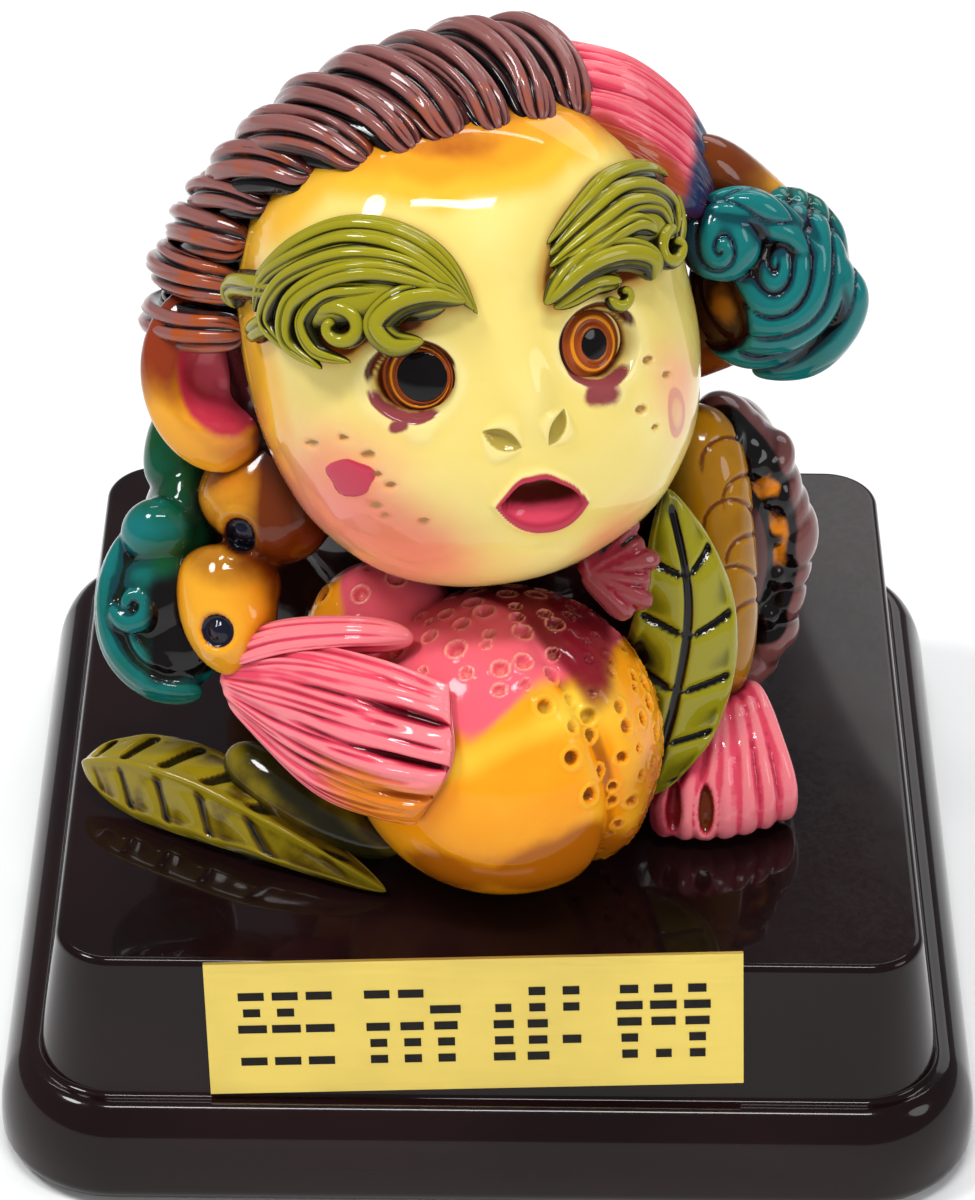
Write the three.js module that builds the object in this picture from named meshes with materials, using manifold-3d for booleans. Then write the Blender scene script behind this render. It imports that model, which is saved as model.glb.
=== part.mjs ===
// A glazed pottery monkey that hugs a peach, on a lacquered wooden stand with a gilt nameplate.
// Millimetres, +Z up. The figure's front faces -Y and the stand rests on Z = 0.
import * as THREE from "three";
import { SimplifyModifier } from "three/addons/modifiers/SimplifyModifier.js";
import { mergeVertices } from "three/addons/utils/BufferGeometryUtils.js";
import Module from "manifold-3d";

// Stand: a moulded foot with a rounded edge, and a block that narrows a little towards its top
const STAND_WIDTH = 115;
const STAND_HEIGHT = 31;
const FOOT_HEIGHT = 13;
const FOOT_CORNER_RADIUS = 14.4;
const FOOT_TOP_ROUNDING = 9.4;
const FOOT_UNDER_ROUNDING = 2.6;
const FOOT_LEDGE = 0.9;
const LEDGE_RISE = 0.6;
const BLOCK_TOP_WIDTH = 100;
const BLOCK_BOTTOM_WIDTH = 105;
const BLOCK_CORNER_RADIUS = 6.6;
const BLOCK_EDGE_RADIUS = 1.0;
const FOOT_EDGE_STEPS = 6;
const CORNER_STEPS = 6;

// Nameplate: a thin sheet on the block's sloping front
const PLATE_WIDTH = 61.5;
const PLATE_HEIGHT = 17.6;
const PLATE_THICKNESS = 0.6;
const PLATE_GAP = 0.3;
const PLATE_TILT_DEG = 2.1;
const PLATE_CENTRE_X = -1.6;
const PLATE_ABOVE_LEDGE = 0.2;

// Figure: modelled at about its real size, then brought to FIGURE_HEIGHT
const FIGURE_HEIGHT = 94.5;
const FIGURE_TRIANGLES = 9100;

// Head: an egg with flattened sides that looks up and to its left
const HEAD_CENTRE = new THREE.Vector3(-3.2, -10.5, 60.4);
const HEAD_HALF = new THREE.Vector3(25.4, 24.2, 28.4);
const HEAD_SQUARENESS = 2.35;
const HEAD_YAW_DEG = 14;
const HEAD_PITCH_DEG = -21.5;
const HEAD_ROLL_DEG = -7;
const EYE_SPACING = 21.6;
const EYE_HEIGHT = 0.8;
const EYE_RADIUS = 3.7;

// Hair: thick locks that are combed back from the hairline, and plainer ones behind
const LOCK_COUNT = 11;
const LOCK_FIRST_DEG = -34;
const LOCK_LAST_DEG = 78;
const LOCK_HALF_WIDTH = 3.2;
const LOCK_HALF_THICKNESS = 3.8;
const BACK_LOCK_COUNT = 13;
const SCALP_THICKNESS = 2.2;

// Peach: an orb with a cleft down its left side
const PEACH_CENTRE = new THREE.Vector3(1.5, -28.7, 16);
const PEACH_HALF = new THREE.Vector3(18.3, 18.0, 17.8);
const PEACH_CLEFT_NORMAL = new THREE.Vector3(0.664, 0.59, -0.459).normalize();
const PEACH_CLEFT_DEPTH = 0.07;

const TOE_COUNT = 6;
const FUR_LOBE_COUNT = 7;
const BACK_TUFT_ROWS = 4;
const RUFF_PETAL_COUNT = 5;

const wasm = await Module();
wasm.setup();

const rad = THREE.MathUtils.degToRad;
const smooth = THREE.MathUtils.smoothstep;
const vec = (x, y, z) => new THREE.Vector3(x, y, z);
const points = (...list) => list.map(([x, y, z]) => vec(x, y, z));
const eulerOf = (turn) => new THREE.Euler(...turn.map(rad));
const bump = (distance, width) => Math.exp(-((distance / width) ** 2));
const FRONT = vec(0, -0.6, 0.8);
const UP = vec(0, 0, 1);

const headTurn = new THREE.Matrix4().makeRotationFromEuler(
  new THREE.Euler(rad(HEAD_PITCH_DEG), rad(HEAD_ROLL_DEG), rad(HEAD_YAW_DEG), "ZXY"),
);

/** Turns a closed geometry into a solid that can be joined and cut. */
function solid(geometry) {
  geometry.deleteAttribute("normal");
  geometry.deleteAttribute("uv");
  const merged = mergeVertices(geometry, 1e-4);
  const mesh = new wasm.Mesh({
    numProp: 3,
    vertProperties: new Float32Array(merged.attributes.position.array),
    triVerts: new Uint32Array(merged.index.array),
  });
  return new wasm.Manifold(mesh);
}

/** The geometry of a solid, as three.js keeps it. */
function geometryOf(body) {
  const mesh = body.getMesh();
  const geometry = new THREE.BufferGeometry();
  geometry.setAttribute("position", new THREE.BufferAttribute(new Float32Array(mesh.vertProperties), 3));
  geometry.setIndex(new THREE.BufferAttribute(new Uint32Array(mesh.triVerts), 1));
  return geometry;
}

/** Merges a solid's smallest facets until about `triangles` are left. */
async function lightened(body, triangles) {
  const geometry = geometryOf(body);
  const vertices = geometry.attributes.position.count;
  const spare = vertices * (1 - triangles / body.numTri());
  return spare > 0 ? solid(await new SimplifyModifier().modify(geometry, Math.round(spare))) : body;
}

/** A closed body on a sphere's net; `place(direction, angle, station)` gives each vertex. */
function netted(around, along, place) {
  const geometry = new THREE.SphereGeometry(1, around, along);
  const position = geometry.attributes.position;
  const direction = vec(0, 0, 0);
  for (let i = 0; i < position.count; i += 1) {
    direction.fromBufferAttribute(position, i);
    const station = Math.acos(THREE.MathUtils.clamp(direction.y, -1, 1)) / Math.PI;
    const angle = Math.atan2(direction.z, direction.x);
    const point = place(direction, angle, station);
    position.setXYZ(i, point.x, point.y, point.z);
  }
  return solid(geometry);
}

/** An ellipsoid with half-sizes `half`, turned by degrees about X, Y and Z. */
function ball(centre, half, turn = [0, 0, 0], around = 14, along = 10) {
  const euler = eulerOf(turn);
  return netted(around, along, ({ x, y, z }) =>
    vec(x * half[0], -z * half[1], y * half[2])
      .applyEuler(euler)
      .add(centre),
  );
}

/** Share of the full width at `t` along a closed-ended sweep; a higher power gives blunter ends. */
const blunt = (t, power) => Math.sqrt(Math.max(0, 1 - Math.abs(2 * t - 1) ** power));

/** A station's place along a path, with the rings closer together at its ends. */
const eased = (station) => 0.45 * station + 0.275 * (1 - Math.cos(Math.PI * station));

/** A limb, lock or curl along a smooth path; `size(t)` gives its half-width and half-thickness. */
function sweep(path, size, { up = FRONT, from = null, around = 10, along = 10, power = 4 } = {}) {
  const curve = new THREE.CatmullRomCurve3(path, false, "centripetal");
  return netted(around, along, (direction, angle, station) => {
    const t = eased(station);
    const centre = curve.getPoint(t);
    const tangent = curve.getTangent(t);
    const side = (from ? centre.clone().sub(from) : up.clone()).cross(tangent).normalize();
    const over = tangent.clone().cross(side);
    const [width, thickness] = size(t);
    const end = blunt(t, power);
    return centre
      .addScaledVector(side, width * end * Math.cos(angle))
      .addScaledVector(over, thickness * end * Math.sin(angle));
  });
}

/** Moves a point of the head's own frame into the figure. */
const fromHead = (point) => point.applyMatrix4(headTurn).add(HEAD_CENTRE);

/** How far the head's egg reaches from its centre in a direction of its own frame. */
function headReach(direction) {
  const shares = direction.clone().divide(HEAD_HALF).toArray();
  const sum = shares.reduce((total, share) => total + Math.abs(share) ** HEAD_SQUARENESS, 0);
  return sum ** (-1 / HEAD_SQUARENESS);
}

/** A point above the head: degrees from the face's axis, and degrees round it from the crown. */
function onHead(fromAxis, round, lift = 0) {
  const polar = rad(fromAxis);
  const turn = rad(round);
  const own = vec(-Math.sin(polar) * Math.sin(turn), -Math.cos(polar), Math.sin(polar) * Math.cos(turn));
  return fromHead(own.multiplyScalar(headReach(own) + lift));
}

/** A point above the face, by its side and height in the head's own frame. */
function onFace(x, z, lift = 0) {
  const n = HEAD_SQUARENESS;
  const rest = 1 - Math.abs(x / HEAD_HALF.x) ** n - Math.abs(z / HEAD_HALF.z) ** n;
  const own = vec(x, -HEAD_HALF.y * Math.max(0.002, rest) ** (1 / n), z);
  return fromHead(own.multiplyScalar(1 + lift / own.length()));
}

/** The face's low relief: muzzle, nose, cheeks, chin and the hollows round the eyes. */
function faceRelief(x, z) {
  const muzzle = 1.5 * bump(Math.hypot((x - 1) / 1.2, z + 13.5), 7);
  const nose = 1.5 * bump(Math.hypot((x - 0.7) * 1.5, z + 3.5), 4.2);
  const chin = 0.7 * bump(Math.hypot(x - 0.5, z + 23), 5);
  const cheeks = 0.9 * bump(Math.hypot(Math.abs(x) - 14, z + 9), 6.5);
  const sockets = 1.3 * bump(Math.hypot(Math.abs(x) - EYE_SPACING / 2, z - EYE_HEIGHT), 5);
  return muzzle + nose + chin + cheeks - sockets;
}

/** The hairline's angle from the face's axis: low over the brow, far back by the ear. */
const hairline = (round) => 65 + 33 * smooth(Math.abs(round), 12, 62);

/** The head under its hair, a little thicker behind the hairline; its rings lie closer on the face. */
function makeHead() {
  return netted(56, 34, (direction, angle, station) => {
    const polar = Math.PI * station ** 1.15;
    const own = vec(-Math.sin(polar) * Math.cos(angle), -Math.cos(polar), Math.sin(polar) * Math.sin(angle));
    const reach = headReach(own);
    const round = THREE.MathUtils.radToDeg(Math.atan2(-own.x, own.z));
    const behind = THREE.MathUtils.radToDeg(polar) - hairline(round);
    const relief = own.y < 0 ? faceRelief(own.x * reach, own.z * reach) : 0;
    return fromHead(own.multiplyScalar(reach + relief + SCALP_THICKNESS * smooth(behind, 3, 16)));
  });
}

/** The locks that rise from the hairline and roll back over the crown. */
function makeLocks() {
  const locks = [];
  for (let i = 0; i < LOCK_COUNT; i += 1) {
    const round = THREE.MathUtils.lerp(LOCK_FIRST_DEG, LOCK_LAST_DEG, i / (LOCK_COUNT - 1));
    const lean = 17 * (1 - smooth(round, 25, 70));
    const lift = 1.8 + 6.4 * smooth(round, 30, 80) + 1.2 * bump(round + 32, 10);
    const start = hairline(round) - 3;
    const path = [
      onHead(start, round, -0.5),
      onHead(start + 9, round + lean * 0.4, lift - 0.6),
      onHead(start + 24, round + lean, lift + 1),
      onHead(start + 42, round + lean * 1.3, lift - 0.6),
      onHead(start + 60, round + lean * 1.5, -0.5),
    ];
    const width = LOCK_HALF_WIDTH * (1 + 0.2 * Math.sin(2.4 * i + 0.6));
    const swell = (t) => 0.5 + 0.5 * Math.min(1, 3.2 * t);
    locks.push(
      sweep(path, (t) => [width * swell(t), LOCK_HALF_THICKNESS * swell(t)], {
        from: HEAD_CENTRE,
        around: 10,
        along: 12,
        power: 5,
      }),
    );
  }
  return locks;
}

/** Plainer locks down the back of the head. */
function makeBackLocks() {
  const locks = [];
  for (let i = 0; i < BACK_LOCK_COUNT; i += 1) {
    const round = (360 * i) / BACK_LOCK_COUNT + 10;
    const path = [
      onHead(108, round, 0.4),
      onHead(126, round + 5, 2.4),
      onHead(150, round + 10, 2),
      onHead(176, round + 14, -1),
    ];
    const net = { from: HEAD_CENTRE, around: 8, along: 8, power: 6 };
    locks.push(sweep(path, (t) => [6.4 - 3.8 * t, 3.4], net));
  }
  return locks;
}

/** A tight curl that lies on the head's surface; `turnDeg` winds it inwards. */
function curl(fromAxis, round, radius, startDeg, turnDeg, thickness) {
  const path = [];
  const steps = 8;
  const degrees = 180 / (Math.PI * HEAD_HALF.x);
  for (let i = 0; i <= steps; i += 1) {
    const angle = rad(startDeg + (turnDeg * i) / steps);
    const reach = radius * degrees * (1 - 0.62 * (i / steps));
    const swing = (reach * Math.sin(angle)) / Math.sin(rad(fromAxis));
    path.push(onHead(fromAxis + reach * Math.cos(angle), round + swing, 0.4 + 0.5 * (i / steps)));
  }
  const net = { from: HEAD_CENTRE, around: 7, along: 12, power: 6 };
  return sweep(path, (t) => [thickness * (1 - 0.2 * t), thickness], net);
}

/** One eyebrow: an arched, leaf-like band with a hook and curls below it; `hand` is -1 or 1. */
function makeBrow(hand) {
  const rise = hand > 0 ? 0.7 : 0;
  const over = (x, z, lift) => onFace(hand * x, z + rise, lift);
  const tailEnd = hand > 0 ? onHead(80, -70, 0.4) : onHead(90, 68, 0.2);
  const tail = [onHead(hand > 0 ? 70 : 72, -61 * hand, 0.8), tailEnd];
  const band = [over(2.2, 7, -0.2), over(6.2, 12.4, 0.9), over(12.4, 15, 1.2), ...tail];
  const strand = [over(4.6, 11, 1.2), over(11.6, 16.4, 1.5), over(18.4, 14.4, 1.2)];
  const hook = [over(20.2, 11.2, 0.8), over(19.8, 8, 1.2), over(17.4, 5, 1), over(14, 4.8, 0.4)];
  const fullness = (t) => 1 - 0.75 * Math.abs(2 * t - 0.96) ** 1.6;
  return [
    sweep(band, (t) => [3.9 * fullness(t), 2.2], { from: HEAD_CENTRE, around: 12, along: 14 }),
    sweep(strand, () => [1.2, 1.8], { from: HEAD_CENTRE, around: 8, along: 8 }),
    sweep(hook, () => [1.5, 1.7], { from: HEAD_CENTRE, around: 8, along: 8 }),
    curl(hand > 0 ? 40 : 42, hand * -64, 2.5, hand > 0 ? 20 : 340, hand * 330, 1.2),
    curl(28, hand * -53, 2.6, hand > 0 ? 190 : 170, hand * -310, 1.25),
    curl(hand > 0 ? 62 : 96, hand * (hand > 0 ? -77 : -70), 2.1, 180, hand * 260, 1.35),
  ];
}

/** An eyeball in its hollow with a raised lid round it. */
function makeEye(hand) {
  const centre = onFace((hand * EYE_SPACING) / 2, EYE_HEIGHT, -2.2);
  const facing = onFace((hand * EYE_SPACING) / 2, EYE_HEIGHT, 3).sub(centre).normalize();
  const lid = new THREE.TorusGeometry(EYE_RADIUS + 0.3, 0.8, 7, 20);
  const turn = new THREE.Quaternion().setFromUnitVectors(UP, facing);
  lid.applyQuaternion(turn);
  lid.translate(...centre.clone().addScaledVector(facing, 1.4).toArray());
  const eyeball = new THREE.SphereGeometry(EYE_RADIUS, 16, 12);
  eyeball.rotateX(Math.PI / 2);
  eyeball.translate(centre.x, centre.y, centre.z);
  return [solid(eyeball), solid(lid)];
}

/** An opening to be cut in the face, as an ellipsoid turned in the head's own frame. */
function faceCut(x, z, lift, half, turn, around, along) {
  const euler = eulerOf(turn);
  const centre = onFace(x, z, lift).sub(HEAD_CENTRE).applyMatrix4(headTurn.clone().transpose());
  return netted(around, along, (direction) => {
    const own = vec(direction.x * half[0], -direction.z * half[1], direction.y * half[2]);
    return fromHead(own.applyEuler(euler).add(centre));
  });
}

/** The mouth and the two nostrils. */
function makeFaceCuts() {
  return [
    faceCut(0.7, -14.9, 1.4, [5.3, 5.2, 3.7], [-32, -4, 0], 16, 12),
    faceCut(-3.2, -7, 1.4, [2.0, 1.5, 0.75], [-10, 28, 0], 10, 8),
    faceCut(3.1, -6.9, 1.2, [1.8, 1.5, 0.7], [-10, -48, 0], 10, 8),
  ];
}

/** The lower lip, a low roll along the mouth's lower edge. */
function makeLip() {
  const path = [
    onFace(-4.4, -15.2, 1),
    onFace(-2.8, -18.2, 1.4),
    onFace(0.8, -19.4, 1.6),
    onFace(4.4, -18.4, 1.4),
    onFace(6, -15.4, 1),
  ];
  return sweep(path, () => [0.9, 1.1], { from: HEAD_CENTRE, around: 8, along: 10 });
}

/** The right ear: a bowl with a rolled rim, open to the front, and its root in the hair. */
function makeEar() {
  const shell = ball(vec(-31.9, -9.4, 53), [8.7, 4.2, 11.1], [-24, -12, 16], 20, 14);
  const root = ball(vec(-31, -3.4, 57.5), [5.0, 5.2, 6.0]);
  const bowl = ball(vec(-31.8, -12.6, 55), [5.2, 3.4, 7.0], [-24, 6, 16], 16, 12);
  return shell.add(root).subtract(bowl);
}

/** The peach, with its cleft. */
function makePeach() {
  return netted(36, 24, (direction) => {
    const own = vec(direction.x, -direction.z, direction.y);
    const off = own.dot(PEACH_CLEFT_NORMAL);
    const side = smooth(own.x, 0.1, 0.6);
    const reach = 1 - PEACH_CLEFT_DEPTH * side * bump(off, 0.16) + 0.02 * side * bump(off - 0.26, 0.2);
    return own.multiply(PEACH_HALF).multiplyScalar(reach).add(PEACH_CENTRE);
  });
}

/** The right arm, on the viewer's left, and the hand that holds the peach. */
function makeRightArm() {
  const finger = (path, width) =>
    sweep(path, (t) => [width * (0.8 + 0.25 * Math.sin(Math.PI * t)), 2.2 + 0.5 * t], {
      from: PEACH_CENTRE,
      around: 9,
      along: 10,
      power: 5,
    });
  const wide = { around: 14, along: 10 };
  return [
    sweep(points([-16, 0, 44], [-24.5, -10, 39.5], [-29, -15.5, 33]), () => [7.6, 7.4], wide),
    sweep(points([-30.5, -14, 32.5], [-31, -20, 28.5], [-27.5, -27, 23.5]), () => [6.4, 6.6], wide),
    ball(vec(-22.6, -29.6, 22), [8.2, 6.4, 6.4], [0, 20, 20], 16, 11),
    finger(points([-29, -25.5, 22.5], [-21.7, -31, 27.4], [-12.6, -35.5, 28.4], [-3.6, -40.8, 29.2]), 2.1),
    finger(points([-29, -26.5, 20.5], [-21.7, -33.4, 24.4], [-12.5, -39.4, 25.4], [-3.2, -43.6, 26.4]), 1.9),
    finger(points([-28, -27.5, 18.5], [-20.6, -35.2, 20.7], [-12.5, -41.4, 22], [-4.6, -45, 23.2]), 1.8),
    finger(points([-26, -29, 16.5], [-19.5, -36.4, 16.8], [-12.5, -41.8, 18.4], [-6.4, -45, 19.8]), 1.8),
    finger(points([-25.6, -25, 25.5], [-16.7, -27, 30.4], [-9.2, -29.4, 32]), 2.2),
  ];
}

/** A spiral roll that lies square to `normal`, as on a carved cloud. */
function scroll(centre, radius, startDeg, turnDeg, thickness, normal) {
  const side = vec(1, 0, 0).addScaledVector(normal, -normal.x).normalize();
  const rise = normal.clone().cross(side);
  const path = [];
  const steps = 9;
  for (let i = 0; i <= steps; i += 1) {
    const angle = rad(startDeg + (turnDeg * i) / steps);
    const reach = radius * (1 - 0.8 * (i / steps));
    const point = centre.clone().addScaledVector(side, reach * Math.cos(angle));
    point.addScaledVector(rise, reach * Math.sin(angle));
    path.push(point.addScaledVector(normal, 0.9 * (i / steps)));
  }
  const net = { up: normal, around: 7, along: 16, power: 6 };
  return sweep(path, (t) => [thickness * (1 - 0.3 * t), thickness], net);
}

/** The cloud-edged drape beside the right arm. */
function makeRightCloud() {
  const facing = vec(-0.3, -0.62, 0.72).normalize();
  const hem = points(
    [-42.4, -13, 34],
    [-44.2, -16.6, 27],
    [-43.2, -19.4, 21.4],
    [-39.4, -21.4, 18.2],
    [-33.6, -22.6, 17.6],
  );
  return [
    ball(vec(-36.6, -9, 29.5), [5.2, 8.5, 12], [-20, 8, 0], 14, 11),
    sweep(points([-33, 1, 45], [-36.6, -4, 41.4], [-37.4, -9, 36]), () => [3.8, 4.0]),
    ball(vec(-38.2, -14.4, 34.4), [3.4, 3.4, 3.8]),
    ball(vec(-40.6, -13.6, 33.8), [3.0, 3.2, 4.4]),
    scroll(vec(-41.6, -18.6, 27.8), 2.9, 160, 420, 1.25, facing),
    sweep(hem, () => [1.6, 2.6], { around: 8, along: 14, up: facing }),
    ball(vec(-37.2, -15, 23.8), [5.2, 6, 6.2]),
  ];
}

/** The left arm, on the viewer's right, raised so that its hand lies on the head. */
function makeLeftArm() {
  const finger = (path, width) =>
    sweep(path, () => [width, 2.3], { from: HEAD_CENTRE, around: 9, along: 10, power: 5 });
  const wide = { around: 14, along: 10 };
  const forearm = points([35.4, 5.5, 57.4], [32, 6, 63.2], [26.4, 5, 70.2], [20.6, 3.5, 76.6]);
  return [
    sweep(points([14, 8, 42], [24, 5, 49], [32, 3, 56], [35, 4, 60]), () => [6.6, 6.6], wide),
    sweep(forearm, (t) => [5.4 - 1.0 * t, 5 - 1.0 * t], wide),
    finger(points([23.6, 6, 74.8], [19.2, 5, 81], [13.2, 3.8, 86.2], [6.2, 3, 88.6]), 2.4),
    finger(points([23.6, 3.4, 74.4], [19.2, 1.8, 80.2], [13.2, 0.4, 85.4], [6.6, -0.4, 87.6]), 2.2),
    finger(points([23.6, 0.6, 72.4], [19.8, -1.6, 78], [14.4, -3.2, 83], [8.6, -3.8, 85.8]), 2.1),
    finger(points([24, -1.4, 71], [20.8, -4, 75.4], [16.6, -5.6, 79.6], [11, -6.4, 83.6]), 1.9),
  ];
}

/** The cloud-like sleeve over the raised elbow. */
function makeSleeve() {
  const facing = vec(0.12, -0.72, 0.68).normalize();
  const hem = points(
    [22.2, -3.6, 71],
    [28.6, -3, 71],
    [34, -2.2, 65.4],
    [40.3, -1.6, 58.8],
    [36.2, -2.6, 52.2],
    [29, -3, 50],
  );
  return [
    ball(vec(30.6, 0.2, 60.2), [9.8, 6.0, 11.2], [-26, 22, 0], 20, 14),
    scroll(vec(25, -6, 67.4), 4.6, 100, 400, 1.5, facing),
    scroll(vec(31.2, -6, 63.4), 5.4, 80, 420, 1.6, facing),
    sweep(hem, () => [2.3, 2.9], { around: 9, along: 16, up: facing }),
  ];
}

/** The left leg, drawn up: shin, foot with its toes, and the lobed fur behind them. */
function makeLeftLeg() {
  const shin = points([25.6, 0.6, 39.6], [26.8, -5, 34.2], [27.8, -9.6, 24], [28.6, -13.4, 10]);
  const parts = [
    sweep(shin, (t) => [6.4 - 1.4 * t, 5.6], { around: 14, along: 12, power: 6 }),
    ball(vec(27.2, -19.6, 4.6), [8.8, 9.8, 6.6], [8, 0, 0], 18, 12),
    ball(vec(28.6, 5, 23), [7.4, 12, 17], [0, 0, 0], 16, 12),
  ];
  for (let i = 0; i < TOE_COUNT; i += 1) {
    const x = 20 + 2.9 * i;
    const y = -28.4 + 0.3 * (i - 1.4) ** 2;
    const path = points([x, y + 12, 9.8], [x, y + 4.4, 8.6], [x, y + 0.4, 2.2]);
    parts.push(sweep(path, () => [1.55, 2.4], { around: 8, along: 9, power: 5 }));
  }
  const edge = points([27.6, 1.6, 39.2], [32.4, 1, 34.6], [35.2, 0.6, 25], [34, -1, 14], [30, -3, 8.6]);
  const rim = new THREE.CatmullRomCurve3(edge);
  for (let i = 0; i < FUR_LOBE_COUNT; i += 1) {
    const share = i / (FUR_LOBE_COUNT - 1);
    parts.push(ball(rim.getPointAt(share), [3.1, 4.6, 3.9], [0, 80 * share - 40, 0], 10, 8));
  }
  return parts;
}

/** A leaf's blade along a path: pointed at both ends and ridged along its midrib. */
function leaf(path, halfWidth, thickness, up, around = 12, along = 16) {
  const curve = new THREE.CatmullRomCurve3(path, false, "centripetal");
  return netted(around, along, (direction, angle, station) => {
    const t = eased(station);
    const tangent = curve.getTangent(t);
    const side = up.clone().cross(tangent).normalize();
    const over = tangent.clone().cross(side);
    const width = halfWidth * Math.max(0, Math.sin(Math.PI * t ** 0.85)) ** 0.7;
    const ridge = width * (0.18 - 0.28 * Math.abs(Math.cos(angle)));
    return curve
      .getPoint(t)
      .addScaledVector(side, width * Math.cos(angle))
      .addScaledVector(over, thickness * blunt(t, 6) * Math.sin(angle) + ridge);
  });
}

/** The leaves: one lies on the stand, a second laps the peach, one stands before the shin. */
function makeLeaves() {
  const lying = points(
    [-48.4, -19, 4.2],
    [-42.4, -20.8, 4.6],
    [-35, -24.4, 4.8],
    [-26.5, -30, 4.2],
    [-12, -38, 0.8],
  );
  const second = points([-31, -22.6, 9.2], [-22, -29, 6.8], [-10, -33.6, 4]);
  const standing = points([19, -27.4, 5.6], [23, -24.4, 18], [24.2, -21.6, 31], [20.4, -18.6, 45]);
  return [
    leaf(lying, 5.4, 1.3, vec(-0.2, -0.55, 0.8)),
    sweep(second, () => [3.6, 2.6], { up: vec(-0.5, -0.5, 0.7) }),
    leaf(standing, 8.4, 1.4, vec(0.1, -0.8, 0.6)),
  ];
}

/** The ruffled fur under the chin, on the peach's far side. */
function makeRuff() {
  const petals = [];
  const root = vec(10, -26.4, 38);
  for (let i = 0; i < RUFF_PETAL_COUNT; i += 1) {
    const angle = rad(72 - 26 * i);
    const tip = root.clone().add(vec(9 * Math.cos(angle), 4 * Math.sin(angle) + 1, 7.4 * Math.sin(angle)));
    const path = [root, root.clone().lerp(tip, 0.5), tip];
    petals.push(sweep(path, (t) => [1.1 + 0.9 * t, 2.1], { around: 8, along: 8, up: vec(0.3, -0.7, 0.6) }));
  }
  return petals;
}

/** The trunk and haunches. */
function makeBody() {
  return [
    ball(vec(-3, 9, 30), [24, 22, 30], [0, 0, 0], 28, 20),
    ball(vec(-20, 8, 13), [13, 17, 14.5], [0, 0, 10], 18, 12),
    ball(vec(20, 10, 14), [13, 16, 15.5], [0, 0, -10], 18, 12),
    ball(vec(0, -8, 10), [20, 22, 13], [0, 0, 0], 16, 10),
    ball(vec(-2, -8, 38), [13, 12, 12]),
  ];
}

/** Rows of flat, overlapping tufts down the back, plainer than the hair. */
function makeBackFur() {
  const tufts = [];
  const centre = vec(-3, 9, 30);
  const half = vec(24, 22, 30);
  const onBack = (turn, height, lift) => {
    const own = vec(0, Math.cos(rad(height)), Math.sin(rad(height))).applyAxisAngle(UP, rad(-turn));
    return own
      .multiply(half)
      .multiplyScalar(1 + lift / half.x)
      .add(centre);
  };
  for (let row = 0; row < BACK_TUFT_ROWS; row += 1) {
    const height = 32 - 24 * row;
    for (let i = -2; i <= 2; i += 1) {
      const turn = 30 * i + (row % 2 ? 15 : 0);
      const root = onBack(turn, height + 14, -1.2);
      const path = [root, onBack(turn + 3, height, 0.7), onBack(turn + 5, height - 15, 0.3)];
      tufts.push(sweep(path, (t) => [5.4 - 3.4 * t, 1.6], { from: centre, around: 8, along: 7 }));
    }
  }
  return tufts;
}

/** Two pits in the arm, where thick glaze has pooled. */
function makeArmPits() {
  const upper = ball(vec(-29.6, -20.4, 38.6), [2.3, 2.6, 2.4]);
  const lower = ball(vec(-32.2, -27.6, 29.4), [2.3, 2.2, 1.9], [0, -24, 0]);
  return [upper, lower];
}

/** Joins everything into one casting, lightens it and cuts its level underside. */
async function makeFigure() {
  const bodies = [
    ...makeBody(),
    ...makeBackFur(),
    makeHead(),
    ...makeBackLocks(),
    ...makeLocks(),
    ...makeBrow(-1),
    ...makeBrow(1),
    makeEar(),
    makePeach(),
    ...makeRightArm(),
    ...makeRightCloud(),
    ...makeLeftArm(),
    ...makeSleeve(),
    ...makeLeftLeg(),
    ...makeLeaves(),
    ...makeRuff(),
  ];
  let figure = wasm.Manifold.union(bodies);
  for (const opening of [...makeFaceCuts(), ...makeArmPits()]) {
    figure = figure.subtract(opening);
  }
  figure = wasm.Manifold.union([figure, makeLip(), ...makeEye(-1), ...makeEye(1)]);
  figure = await lightened(figure, FIGURE_TRIANGLES);
  const above = new THREE.BoxGeometry(140, 140, 130);
  above.translate(0, 0, 65);
  return figure.intersect(solid(above));
}

/** A rounded square's outline point, by its place in the steps round the four corners. */
function squarePoint(half, radius, index) {
  const corner = Math.floor(index / (CORNER_STEPS + 1));
  const step = index % (CORNER_STEPS + 1);
  const angle = ((corner + step / CORNER_STEPS) * Math.PI) / 2;
  const signX = corner === 0 || corner === 3 ? 1 : -1;
  const signY = corner < 2 ? 1 : -1;
  const flat = half - radius;
  return [signX * flat + radius * Math.cos(angle), signY * flat + radius * Math.sin(angle)];
}

/** The stand's half-profile: underside, rounded foot, sloping block and top. */
function standProfile() {
  const outer = STAND_WIDTH / 2;
  const blockTop = BLOCK_TOP_WIDTH / 2;
  const blockBottom = BLOCK_BOTTOM_WIDTH / 2;
  const shoulder = blockBottom + FOOT_LEDGE;
  const widest = FOOT_HEIGHT - FOOT_TOP_ROUNDING;
  const profile = [
    [0, 0],
    [outer - 0.8 * FOOT_UNDER_ROUNDING, 0],
    [outer - 0.2 * FOOT_UNDER_ROUNDING, 0.35 * widest],
  ];
  for (let i = 0; i <= FOOT_EDGE_STEPS; i += 1) {
    const angle = (i / FOOT_EDGE_STEPS) * (Math.PI / 2);
    const half = shoulder + (outer - shoulder) * Math.cos(angle);
    profile.push([half, widest + FOOT_TOP_ROUNDING * Math.sin(angle)]);
  }
  profile.push(
    [blockBottom, FOOT_HEIGHT + LEDGE_RISE],
    [blockTop + 0.15, STAND_HEIGHT - BLOCK_EDGE_RADIUS],
    [blockTop - 0.3 * BLOCK_EDGE_RADIUS, STAND_HEIGHT - 0.3 * BLOCK_EDGE_RADIUS],
    [blockTop - BLOCK_EDGE_RADIUS, STAND_HEIGHT],
    [0, STAND_HEIGHT],
  );
  return profile;
}

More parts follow.
